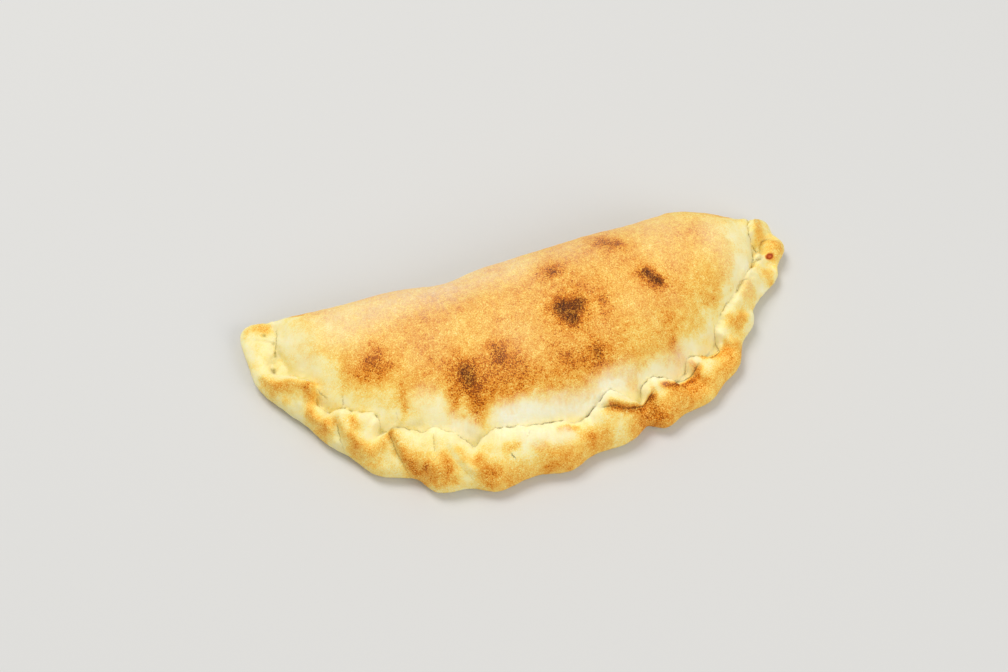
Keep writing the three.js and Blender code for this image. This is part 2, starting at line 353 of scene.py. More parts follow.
PLEATS = (
    Pleat(
        ((-134, -33), (-130.5, -39), (-124, -41.5), (-117.5, -44), (-113.7, -45.8), (-112, -48)),
        (3.0, 2.2), 2.6, 3.8,
    ),
    Pleat(
        ((-112, -49.5), (-112.6, -52), (-114.5, -56), (-114.4, -61), (-111.3, -66.3), (-108.5, -70)),
        (2.4, 3.2), 4.0, 4.2,
    ),
    Pleat(
        ((-101, -70.5), (-100.2, -76), (-98, -81.5), (-93.5, -86))
        + ((-89, -87.2), (-84.5, -85.8), (-80, -83.5)),
        (3.2, 2.6), 4.2, (1.6, 5.0), lip=(1.1, -1.8), shade=(0.9, -1.9),
    ),
    Pleat(((-104, -68), (-104.2, -74), (-102, -80)), -1.6, 3, 3),
    Pleat(
        ((-77.6, -83.5), (-76.6, -88.5), (-75.3, -92.8), (-73.2, -97.6), (-70.5, -101.3), (-66, -105.7)),
        (3.6, 3.8), 8, (1.6, 2.0), lip=(0.8, 0.6), shade=(0.7, -0.1),
    ),
    Pleat(((-60, -88), (-60.2, -92), (-61, -97)), -1.2, 2.2, 2.2),
    Pleat(
        ((-51.6, -96.5), (-49.8, -101.3), (-46.8, -105.6), (-43.5, -109.8)),
        (1.6, 2.6), 8, (2.2, 1.9), lip=(0.2, 0.6), shade=(0.0, 0.25),
    ),
    Pleat(
        ((25, -92), (30, -92.9), (34, -94.2), (38, -94), (43, -92.2), (48, -89.8)),
        2.6, 3.4, 1.5, lip=(0.7, 1.3), shade=(0.6, 1.0),
    ),
    Pleat(((54, -91), (51, -98), (47, -105)), -2.2, 4, 3.4),
    Pleat(((49.8, -86.5), (51, -89), (51.5, -92)), 0.8, 2.2, 2.2),
    Pleat(((54, -82.2), (59, -82.8), (64, -82.4), (68, -81.4)), 1.6, 4, 1.5, lip=0.6),
    Pleat(((69, -79.8), (73, -79.4), (76, -78)), 0.8, 2.6, 1.8),
    Pleat(((73, -75.4), (76, -76.6), (78, -79)), 0.8, 1.4, 1.4),
    Pleat(((79, -72.6), (83, -72.2), (86.5, -71.6), (90, -70.2), (93, -67.6)), 1.6, 4, 1.5, lip=0.5),
    Pleat(((90, -63), (90.5, -66), (91.5, -69)), 1.3, 2.0, 2.0),
    Pleat(((92.5, -62.3), (95, -64.7), (99, -66), (105, -66.5)), -2.2, 2.8, 2.8),
    Pleat(((101.5, -52.5), (106, -54.5), (111, -53), (116, -49.5)), -2.6, 2.4, 2.6),
    Pleat(((104.5, -49), (110, -49.5), (114, -47.5)), -0.8, 1.4, 1.4),
    Pleat(((117, -39), (120, -42), (124, -41.7)), -2.0, 2.2, 2.6),
    Pleat(((123.5, -27.5), (128.5, -26.5), (135, -28)), -2.4, 2.2, 2.4),
    Pleat(((129.3, -19.5), (130.3, -15.5), (133.5, -13), (140, -13)), -2.2, 1.6, 2.0),
)

# Broad dents, and one soft ridge, whose depth is below zero.
DENTS = (
    Crease(((61, -48), (63, -58), (65.5, -68), (69, -76)), 0.9, 3.2, 0.0),
    Crease(((20, -30), (26, -42)), 0.4, 5.0, 0.0),
    Crease(((126, -23.5), (122.4, -28.6), (117.5, -34), (112.6, -39.5)), -2.8, 2.5, 0.0),
)

PUFFS = (
    Puff((136, -20), 3, 6),
    Puff((84, -14), 2, 26),
    Puff((66, -62), -1.6, 12),
    Puff((-24, -34), 1.2, 24),
    Puff((-84, -24), 1.5, 22),
    Puff((-52, -12), -1, 16),
    Puff((26, -8), -0.8, 16),
    Puff((-84, -92), -1.5, 6),
    Puff((-124, -47), -1.5, 7),
    Puff((-105.8, -57.5), 3.6, 4.6),
    Puff((-109.8, -55), 2.4, 3.4),
    Puff((-110.5, -51), 3.2, 3.0),
    Puff((-83, -75.5), 1.6, 4.5),
    Puff((-128, -9.5), -0.9, 4.5),
    Puff((-126.8, -14.5), 2.5, 4.2),
    Puff((-132.5, -15.5), 0.9, 5),
    Puff((-121.8, -29.5), 2.0, 4),
    Puff((-108.5, -58.5), 1.6, 3),
    Puff((-125, -19), 2.6, 5.5),
    Puff((-123, -27), 2.4, 6),
    Puff((126.2, -24.5), 5.8, 4.6),
    Puff((123.2, -29), 4.6, 4.2),
    Puff((118.5, -34.5), 3.6, 4.6),
    Puff((115.5, -39.5), 2.4, 5),
    Puff((106, -50.5), 1.4, 4.5),
    Puff((127, -12), 2.6, 5),
    Puff((124.5, -4.5), 3.2, 4.8),
    Puff((128.8, -3.8), 2.8, 3.8),
    Puff((121.6, -25.5), 1.8, 3.2),
    Puff((91.5, -64.5), 1.6, 4),
    Puff((72.6, -79.4), 2.4, 3.2),
    Puff((77.6, -79.8), -1.2, 2.8),
    Puff((-12, -104), 1, 9),
    Puff((14, -100), -1, 7),
)

CREASES = (
    Crease(((-122.6, -8.6), (-123.6, -14), (-125.4, -18.6)), 0.35, 0.7, 0.5),
    Crease(((-108.7, -50), (-107.4, -52), (-105.8, -54.4)), 0.25, 0.5, 0.5),
    Crease(((-98.2, -58.5), (-98.4, -62)), 0.4, 0.5, 0.5),
    Crease(((-74.4, -74.5), (-74.6, -79)), 0.3, 0.6, 0.25),
    Crease(((-59.6, -89.5), (-60.1, -93), (-60.5, -96)), 0.6, 0.9, 0.4),
    Crease(((-63.2, -98.6), (-62.3, -101.4), (-60, -99.6)), 0.4, 0.6, 0.2),
    Crease(((-24.4, -106.9), (-24, -107.5)), 0.4, 0.5, 1.0),
    Crease(((-14, -98.5), (-15.4, -100.3)), 0.4, 0.6, 0.2),
    Crease(((67, -82), (71, -82.4), (74.5, -81.4), (76.5, -80)), 0.6, 0.8, 0.8),
    Crease(((81, -73.4), (85, -73.8), (88.3, -73), (91, -71.2)), 0.4, 0.7, 0.6),
    Crease(((107.6, -44.8), (108.6, -42.8), (111, -40.6), (114, -40)), 0.4, 0.6, 0.5),
    Crease(((129.2, -19.2), (130, -15.8), (132.5, -13.2), (136, -12.6)), 0.4, 0.7, 0.3),
    Crease(((123.2, -27.2), (127.3, -25.2)), 0.4, 0.6, 0.5),
)

# Pits in the rope, with painted olive shade in them; the weak wide ones are shallow hollows with pools of
# painted shade along the seam.
PITS = (
    Mark(((-125.4, -19.4), (-125.6, -20.8)), 0.8, 0.7),
    Mark(((-128.2, -27.6), (-128.2, -28.6)), 1.1, 0.75),
    Mark(((-129.4, -8.7), (-128.9, -9.3)), 0.8, 0.6),
    Mark(((-125.5, -22), (-129.5, -23.5)), 2.2, 0.2),
    Mark(((-74, -79.5), (-78, -81.5)), 2.4, 0.3),
    Mark(((-70, -80.5), (-64, -81.2)), 1.6, 0.22),
    Mark(((-38, -93.5), (-42, -91)), 2.2, 0.15),
)

SCORCHES = (
    Mark(((15, -47.5),), 6.0, 1.0),
    Mark(((23, -47.5),), 5.6, 0.96),
    Mark(((18.5, -54),), 5.4, 0.98),
    Mark(((-38, -66.8), (-37.2, -70.3)), 5.8, 0.9),
    Mark(((-46, -66), (-44, -72)), 3.6, 0.22),
    Mark(((-21, -61), (-20, -65)), 4.6, 0.7),
    Mark(((59, -38.5), (64.5, -44)), 4.0, 0.95),
    Mark(((15.5, -24.5),), 4.6, 0.72),
    Mark(((42, -10), (49, -16)), 5.0, 0.42),
    Mark(((46, -14), (53, -20)), 3.4, 0.3),
    Mark(((35.5, -48.5),), 3.8, 0.6),
    Mark(((26.5, -72.5),), 4.4, 0.78),
    Mark(((28, -78),), 2.6, 0.3),
    Mark(((11.5, -72.5),), 3.6, 0.55),
    Mark(((6, -65),), 4.0, 0.3),
    Mark(((-80, -49),), 5.6, 0.48),
    Mark(((-85.5, -52.5),), 4.0, 0.3),
    Mark(((-78, -40), (-76, -44)), 3.0, 0.35),
    Mark(((-76, -54),), 4.0, 0.35),
    Mark(((-12.5, -68),), 2.8, 0.4),
    Mark(((-11, -75.5),), 3.2, 0.38),
    Mark(((-40, -58),), 3.2, 0.32),
    Mark(((-53, -58),), 2.4, 0.3),
    Mark(((-13, -10), (-8, -12)), 2.4, 0.3),
    Mark(((24, -35),), 3.2, 0.35),
    Mark(((35, -56),), 2.4, 0.3),
)

TANS = (
    Mark(((-92, -52), (-83, -60), (-69, -64)), 8, 0.1),
    Mark(((-42, -71), (-34, -74), (-15, -75), (5, -76), (21, -75), (37, -71)), 7.5, 0.24),
    Mark(((-36, -76), (-29, -77)), 9, 0.22),
    Mark(((-35.5, -77), (-36.2, -86)), 3.6, 0.56),
    Mark(((-45, -76), (-48, -82)), 2.8, 0.42),
    Mark(((-84, -52), (-77, -50)), 7.5, 0.17),
    Mark(((30, -36), (44, -30)), 12, 0.14),
    Mark(((-70, -69), (-71, -76)), 2.4, 0.36),
    Mark(((-20, -84), (-20, -88)), 2.6, 0.4),
    Mark(((92, -16),), 8.0, 0.16),
    Mark(((63, -52), (65, -60)), 5.0, 0.12),
    Mark(((66, -68.5), (69, -74)), 3.2, 0.4),
    Mark(((95, -50), (91, -54)), 3.0, 0.25),
    # Along the rope, from the left tip to the right.
    Mark(((-128, -5.2),), 3.6, 0.45),
    Mark(((-134, -12), (-133, -27)), 6.0, 0.06),
    Mark(((-136, -3), (-131, -2)), 4.0, 0.22),
    Mark(((-134, -35), (-129.5, -41), (-124, -43), (-119, -45.2), (-114, -48.4)), 3.4, 0.4),
    Mark(((-129.5, -42),), 3.0, 0.1),
    Mark(((-112.5, -49), (-113.2, -53), (-115.2, -58.5), (-113.7, -63.3), (-110.7, -69)), 3.2, 0.36),
    Mark(((-115.4, -59.2),), 1.6, 0.25),
    Mark(((-125.5, -48),), 2.2, 0.12),
    Mark(((-109.6, -70.5),), 4.4, 0.22),
    Mark(((-107, -67.5), (-104, -68)), 2.2, 0.3),
    Mark(((-101.5, -71.5), (-100, -77), (-97, -82)), 2.0, 0.32),
    Mark(((-97, -82.5), (-93, -86.5), (-88.5, -88.2), (-84, -86.8), (-80, -84)), 3.6, 0.34),
    Mark(((-92, -93), (-84, -95)), 6.0, 0.16),
    Mark(((-95.8, -70.5), (-95, -75)), 2.8, 0.42),
    Mark(((-78, -84.5), (-76.6, -89.5), (-74.6, -95), (-71.5, -100.5)), 2.5, 0.46),
    Mark(((-71, -98.5), (-66, -103), (-60, -105)), 5.6, 0.31),
    Mark(((-65.8, -102.2),), 1.5, 0.5),
    Mark(((-68, -104.5), (-62, -108.5), (-55, -109)), 3.6, 0.34),
    Mark(((-56.5, -101), (-55, -106)), 2.8, 0.36),
    Mark(((-49.2, -99.5), (-46.8, -104)), 2.2, 0.25),
    Mark(((-41, -106),), 3.4, 0.44),
    Mark(((-40, -111.5), (-34, -112.5)), 3.4, 0.4),
    Mark(((-38, -109), (-26, -110.5), (-22, -112)), 5.0, 0.16),
    Mark(((-26, -103.2), (-21, -103.4)), 2.2, 0.36),
    Mark(((-36, -100),), 3.0, 0.12),
    Mark(((-13, -105.4), (-8, -105.5)), 3.0, 0.24),
    Mark(((-8, -110.5), (2, -110.5)), 4.6, 0.28),
    Mark(((-38, -115.5), (-22, -116), (-5, -114), (18, -110)), 4.5, 0.24),
    Mark(((1, -99.9), (9, -99)), 2.0, 0.4),
    Mark(((16, -104),), 2.4, 0.5),
    Mark(((13, -105.5), (22, -105.5)), 4.5, 0.32),
    Mark(((24, -104), (27, -97)), 4.5, 0.2),
    Mark(((28, -94.2), (33, -96.2), (38, -96.6), (44, -95.6), (49.5, -92)), 2.2, 0.72),
    Mark(((44, -98.5), (50, -96.5)), 4.0, 0.46),
    Mark(((53, -99), (47, -104)), 5.0, 0.34),
    Mark(((50, -87), (51, -91.5)), 1.8, 0.28),
    Mark(((57, -87), (62, -87.8), (68, -86.4), (73, -84.8)), 2.0, 0.84),
    Mark(((75, -83.5), (77.5, -81)), 1.6, 0.45),
    Mark(((62, -90.5), (70, -91), (76, -88)), 5.0, 0.36),
    Mark(((73.4, -76.8), (74.6, -79.2), (75.8, -81)), 1.1, 0.5),
    Mark(((81, -74.6), (85, -74.2), (88.5, -73.6)), 1.9, 0.5),
    Mark(((91.5, -73), (94, -70.5)), 2.2, 0.38),
    Mark(((38, -104), (55, -99.5), (69, -95), (81, -89.5), (93, -81), (101, -71)), 5.5, 0.34),
    Mark(((90, -82), (97, -74)), 5.0, 0.2),
    Mark(((107, -57.5), (103.5, -61)), 3.8, 0.42),
    Mark(((99, -60),), 3.0, 0.3),
    Mark(((114.5, -43.5), (112, -47.5)), 4.6, 0.3),
    Mark(((128, -35),), 3.6, 0.42),
    Mark(((122, -31),), 4.0, 0.18),
    Mark(((137, -20),), 6.5, 0.42),
    Mark(((131.2, -4.5), (129.2, -12)), 3.6, 0.36),
)

FLOURS = (
    Mark(((-90, -20), (-60, -14), (-30, -12), (-6, -9)), 15, 0.7),
    Mark(
        ((-24, -89.2), (-6, -89), (6, -89), (14, -90), (20, -88.5), (26, -85.4), (34, -83.3), (40, -82.4)),
        5.0, 1.0,
    ),
    Mark(((-48, -87), (-41, -91)), 4.0, 0.7),
    Mark(((46, -84), (60, -80), (74, -74)), 5.0, 0.5),
    Mark(((104, -20), (108, -34)), 12, 0.38),
    Mark(((-113, -19), (-112, -33)), 6.0, 0.25),
    Mark(((-16, -100.5), (4, -102.5)), 4.0, 0.45),
    Mark(((-60, -72), (-56, -78)), 6.0, 0.3),
)


# ---- The dough ---------------------------------------------------------------


@dataclass(frozen=True)
class HalfMoon:
    """The plain outline of the calzone.

    A turn is a place on it: 0 at the left tip, 90 near the deepest front, 180 at the right tip, and back
    along the fold to 360.

    Attributes:
        deepest_x: Where along the fold the half-moon is deepest, in mm.
        left_half: From there to the left tip.
        right_half: From there to the right tip.
        front_depth: From the fold line to the front.
        softening: Half-length of the stretch that each point is averaged over, to round the corners.
        samples: How many points each half is first worked out at.
        fold_line: The y of the fold by x, which bows back where the body is fullest.
    """

    deepest_x: float = -20
    left_half: float = 121.5
    right_half: float = 162.5
    front_depth: float = 115.5
    softening: int = 7
    samples: int = 1501
    fold_line: SmoothTable = SmoothTable(
        [(-141, 2.8), (-124, 0.6), (-100, -2.2), (-62, -1.6), (-50, -2.8), (-40, -4.4), (-31, -4)]
        + [(-21, -1.6), (0, 0.4), (24, 2.2), (45, 3.6), (62, 4.2), (88, 7), (102, 4.8), (122, 0.9)]
        + [(142, 4)]
    )

    def sharp(self, turn: Array) -> Array:
        """Points of the half-moon with sharp corners."""
        angle = np.radians(turn)
        half = np.where(turn < 90, self.left_half, self.right_half)
        front = np.stack([self.deepest_x - half * np.cos(angle), -self.front_depth * np.sin(angle)], -1)
        x = between(self.deepest_x + self.right_half, self.deepest_x - self.left_half, (turn - 180) / 180)
        back = np.stack([x, self.fold_line(x)], -1)
        return np.where((turn <= 180)[..., None], front, back)

    def stations(self, count: int) -> tuple[Array, Array]:
        """Evenly spaced points with softened corners.

        Args:
            count: How many lie along the rope, and as many along the fold.

        Returns:
            Their turns and their places in plan.
        """
        turns, places = [], []
        for start in (0, 180):
            turn = np.linspace(start, start + 180, self.samples)
            path = self.sharp(turn)
            length = np.linalg.norm(np.diff(path, axis=0), axis=1).sum()
            even_turn, even_path = self._evenly(turn, path, round(length))
            turns.append(even_turn[:-1])
            places.append(even_path[:-1])
        loop = np.vstack(places)
        steps = range(-self.softening, self.softening + 1)
        soft = sum(np.roll(loop, step, axis=0) for step in steps) / len(steps)
        tip = len(places[0])
        front = self._evenly(np.r_[turns[0], 180], soft[: tip + 1], count)
        back = self._evenly(np.r_[turns[1], 360], np.vstack([soft[tip:], soft[:1]]), count)
        return np.r_[front[0][:-1], back[0][:-1]], np.vstack([front[1][:-1], back[1][:-1]])

    @staticmethod
    def _evenly(turn: Array, path: Array, steps: int) -> tuple[Array, Array]:
        """The same path with its samples the same length apart."""
        length = np.r_[0, np.cumsum(np.linalg.norm(np.diff(path, axis=0), axis=1))]
        even = np.linspace(0, length[-1], steps + 1)
        places = np.stack([np.interp(even, length, path[:, axis]) for axis in (0, 1)], -1)
        return np.interp(even, length, turn), places


@dataclass(frozen=True)
class FilledBody:
    """The filled part: a loft of pillow sections along the fold.

    Attributes:
        outline: The half-moon that it lies in.
        inset: It starts this far inside the half-moon, under the rope.
        foot_z: Its height there.
        crown_share: Where across it its crown lies, from 0 at the front to 1 at the fold.
        roundness: Higher is a flatter crown.
        front_wall: Higher is a steeper wall at the rope.
        fold_wall: The same at the fold, where 2 is a round edge.
        blunt_end: How blunt its ends are in plan, from 0 for a sharp tip.
        fold_heights: By x, the height at which the fold reaches furthest back.
        crown_heights: By x, the height of the crown.
    """

    outline: HalfMoon = HalfMoon()
    inset: float = 15.5
    foot_z: float = 7
    crown_share: float = 0.55
    roundness: float = 2.3
    front_wall: float = 1.3
    fold_wall: float = 2
    blunt_end: float = 0.02
    fold_heights: SmoothTable = SmoothTable(
        [(-141, 7), (-124, 8), (-100, 9.5), (-50, 12), (0, 15), (50, 17), (90, 15.5)]
        + [(115, 11), (128, 8), (142, 7)]
    )
    crown_heights: SmoothTable = SmoothTable(
        [(-126, 8), (-122, 13.5), (-115, 21), (-104, 28.2), (-70, 36), (-30, 41), (10, 44.5)]
        + [(50, 46.5), (80, 44.5), (102, 38), (115, 29), (123, 20), (128, 9)]
    )

    def height(self, places: Array) -> Array:
        """The height of the body at places in plan."""
        x, y = places[..., 0], places[..., 1]
        moon = self.outline
        half = np.where(x < moon.deepest_x, moon.left_half, moon.right_half) - self.inset
        bow = np.sqrt(np.clip(1 - ((x - moon.deepest_x) / half) ** 2, self.blunt_end, 1))
        front = -(moon.front_depth - self.inset) * bow
        back = moon.fold_line(x)
        crown = between(front, back, self.crown_share)
        towards = np.where(y < crown, front, back)
        away = np.clip((y - crown) / (towards - crown), 0, 1)
        across = np.where(y < crown, 1 - away, 1 + away) / 2
        foot = between(self.foot_z, self.fold_heights(x), across)
        wall = between(self.front_wall, self.fold_wall, across)
        return foot + (self.crown_heights(x) - foot) * (1 - away**self.roundness) ** (1 / wall)


@dataclass(frozen=True)
class Rope:
    """The rolled edge, with sizes by turn along the outline.

    Attributes:
        edge_z: Height at which it reaches furthest out, in mm.
        roundness: Higher is a flatter top.
        edge_slope: How it rises from its edge, where 1 is straight and lower is rounder.
        foot: How far in from its edge it touches the table.
        fold_foot: The same under the rounded fold.
        seam_depth: How deep the seam between rope and body is pressed.
        crack_depth: How much deeper it is where it stands open.
        seam_spread: Over which distance the body rises out of it.
        pleat_spread: Over which distance the rope's pleats fade out on the body.
        open_slope: How the rope rises out of an open seam, where 1 is straight and higher is softer.
        grown_slope: The same where the dough has grown together.
        fully_open: From this much open on, it rises as out of an open seam.
        seam_waver: How the seam wavers to its sides.
        crack_mean: How open cracks are on average.
        crack_waver: How that wavers.
        crack_range: Their least and most.
        leaning: Shares of the way from the seam to the edge, where pleats start to lean and lean fully.
        right_end: Turns between which it ends past the right tip.
        left_start: Turns between which it starts before the left tip.
        lobes: How far its edge stands out of the half-moon.
        seam_insets: How far in from the half-moon the seam lies.
        swells: How far it swells above a straight line from its edge to the seam.
        cracks: How open the seam is, from 0 where the dough has grown together to 1; it also sets its
            painted shade.
        pale_widths: How far up the body from the seam the oven has left it pale.
    """

    edge_z: float = 6
    roundness: float = 2.4
    edge_slope: float = 0.5
    foot: float = 6.5
    fold_foot: float = 12
    seam_depth: float = 0.1
    crack_depth: float = 0.9
    seam_spread: float = 1.6
    pleat_spread: float = 4.0
    open_slope: float = 0.85
    grown_slope: float = 1.6
    fully_open: float = 0.5
    seam_waver: tuple[Ripples, ...] = (Ripples(7, 31, 0.25), Ripples(3, 32, 0.14))
    crack_mean: float = 0.75
    crack_waver: Ripples = Ripples(6, 33, 0.9)
    crack_range: Span = (0.1, 1.2)
    leaning: Span = (0.95, 0.7)
    right_end: Span = (184, 194)
    left_start: Span = (342, 351)
    lobes: SmoothTable = SmoothTable(
        [(0, 0), (10, 0.5), (17, 1.5), (25, -2), (33, -4.5), (40, -3), (47, -3), (55, 0.5), (64, -2.5)]
        + [(70, 3), (77.5, 0.5), (83.5, 3), (92, -1.5), (98, 1), (103, -3), (109, -1.5), (112, -2.5)]
        + [(114.6, -4.5), (117.5, 1.2), (122, 0.5), (127.5, 3.5), (132, 1.5), (137, 1), (143, -5)]
        + [(149, -5.5), (153.5, -9), (158.5, -6.5), (163, -1), (166.5, -1.5), (170, 2.6), (172.5, 1.8)]
        + [(176, -2.6), (180, -3.5), (185, -1), (195, 0), (350, 0)],
        period=360,
    )
    seam_insets: SmoothTable = SmoothTable(
        [(0, 19.2), (2.2, 18.8), (14.5, 10), (17.1, 16.1), (20, 17.6), (24.2, 19.6), (28.2, 18.6)]
        + [(30.5, 15.2), (33.3, 14), (36.7, 16.3), (38.4, 19), (42, 20.2), (47.6, 22.5), (50.1, 21.2)]
        + [(51.8, 17.9), (56.2, 20.6), (61.5, 21.4), (63.4, 21.7), (65.6, 23.9), (73.5, 20.9)]
        + [(77.4, 18), (79.3, 20.8), (83.4, 23.2), (98.1, 20.2), (101.8, 18.3), (105.1, 19.8)]
        + [(109.7, 23.3), (111.5, 21), (113, 18.4), (114.8, 15.6), (115.7, 16.2), (116.7, 18.8)]
        + [(119.7, 19.8), (122.6, 17.6), (126.1, 14.4), (127.4, 14.2), (129.2, 17.4), (130.7, 17.8)]
        + [(132.7, 16.8), (135, 14.6), (136.8, 12.4), (137.6, 12.2), (138.6, 14.5), (140, 17.8)]
        + [(141.8, 19.4), (144.2, 20), (149, 20.6), (165.9, 16.8), (169.5, 11.7), (174.1, 15.4)]
        + [(176.1, 17.2), (178.1, 21.6)]
        + [(180, 20.9), (181.7, 15.5), (184.7, 8.6), (187, 2.6), (190, 4), (196, 10), (210, 18)]
        + [(330, 18), (343, 9), (347, 4), (352, 8), (357, 15)],
        period=360,
    )
    swells: SmoothTable = SmoothTable(
        [(0, 3.4), (5, 4.4), (10, 4.6), (16, 5), (22, 8), (30, 7), (38, 7), (48, 7.5), (52, 6.6), (56, 7.2)]
        + [(64, 7), (72, 8.5), (84, 7), (97, 7.5), (108, 7.5), (118, 7), (124, 6.6), (130, 6), (142, 5.6)]
        + [(153, 5), (160, 3.8), (166, 3), (172, 5), (180, 4), (184, 2.4), (188, 0.6), (347, 0.6)]
        + [(354, 2.3)],
        period=360,
    )
    cracks: SmoothTable = SmoothTable(
        [(0, 0), (18, 0), (22, 0.25), (27, 0.25), (29, 0.1), (32, 0.55), (38, 0.6), (42, 0.5), (46, 0.55)]
        + [(48, 0.8), (50, 0.5), (51.5, 0.1), (53.5, 0.45), (57, 0.7), (60, 0.5), (63, 0.35), (66, 0.25)]
        + [(69, 0.35), (72, 0.6), (76, 0.6), (78, 0.25), (82, 0.35), (84.3, 1), (87.5, 0.9), (89.5, 0.45)]
        + [(93, 0.5), (95.3, 0.9), (98, 0.7), (100.3, 0.15), (102.3, 0.25), (104, 1), (106.5, 0.9)]
        + [(108, 0.5), (111, 0.35), (114, 0.3), (116.3, 0.4), (118, 0.4), (120, 0.8), (127.5, 0.9)]
        + [(128.2, 0.3), (130, 0.2), (131.5, 0.5), (136, 0.55), (139.5, 0.4), (141.5, 0.1), (143.5, 0.1)]
        + [(145, 0.5), (149, 0.5), (151, 0.2), (155, 0.2), (157, 0.4), (158.5, 0), (172, 0), (173.5, 0.4)]
        + [(179, 0.5), (183, 0.15), (186, 0)],
        period=360,
    )
    pale_widths: SmoothTable = SmoothTable(
        [(0, 13), (10, 13), (20, 12), (30, 11), (38, 10.5), (45, 10), (55, 11.5), (62, 14), (69, 14.5)]
        + [(76, 11), (84, 9), (92, 8), (96, 6.5), (102, 5.5), (106, 4), (112, 4.5), (118, 4.5), (125, 7)]
        + [(140, 7), (146, 6), (152, 5.5), (158, 7), (165, 9), (172, 13), (180, 15), (350, 15)],
        period=360,
    )

    def share(self, turn: Array) -> Array:
        """1 where the edge is a rope or a flap at a tip, 0 where it is the rounded fold."""
        return 1 - smoothstep(turn, *self.right_end) * (1 - smoothstep(turn, *self.left_start))


class Coat(Enum):
    """What varies over the crust, each kept in a mesh attribute of that name."""

    BAKE = "bake"
    SCORCH = "scorch"
    FLOUR = "flour"
    SAUCE = "sauce"
    CREASE_SIDE = "crease_side"
    CREASE_SHADE = "crease_shade"
    # Where painted shade pools in the pits.
    PIT_SHADE = "pit"


@dataclass(frozen=True)
class Stations:
    """What every row of the skin shares: one value for each station round the outline.

    Attributes:
        turn: Its turn.
        outline: Its place on the half-moon, in plan.
        spine: The place on the crown line that its rows run to.
        reach: How far that is.
        inward: Unit vector that points there.
        along: Its distance along the outline from the left tip.
        ropiness: 1 on the rope, 0 on the fold.
        lobe: How far its edge stands out of the half-moon.
        inset: How far in from the half-moon its seam lies.
        slope: How the rope rises out of the seam.
        crack: How open the seam is.
        press: How deep the seam is pressed.
        seam_z: Height of the seam.
        edge_z: Height at which the edge reaches furthest out.
        foot: How far in from its edge it touches the table.
    """

    turn: Array
    outline: Array
    spine: Array
    reach: Array
    inward: Array
    along: Array
    ropiness: Array
    lobe: Array
    inset: Array
    slope: Array
    crack: Array
    press: Array
    seam_z: Array
    edge_z: Array
    foot: Array


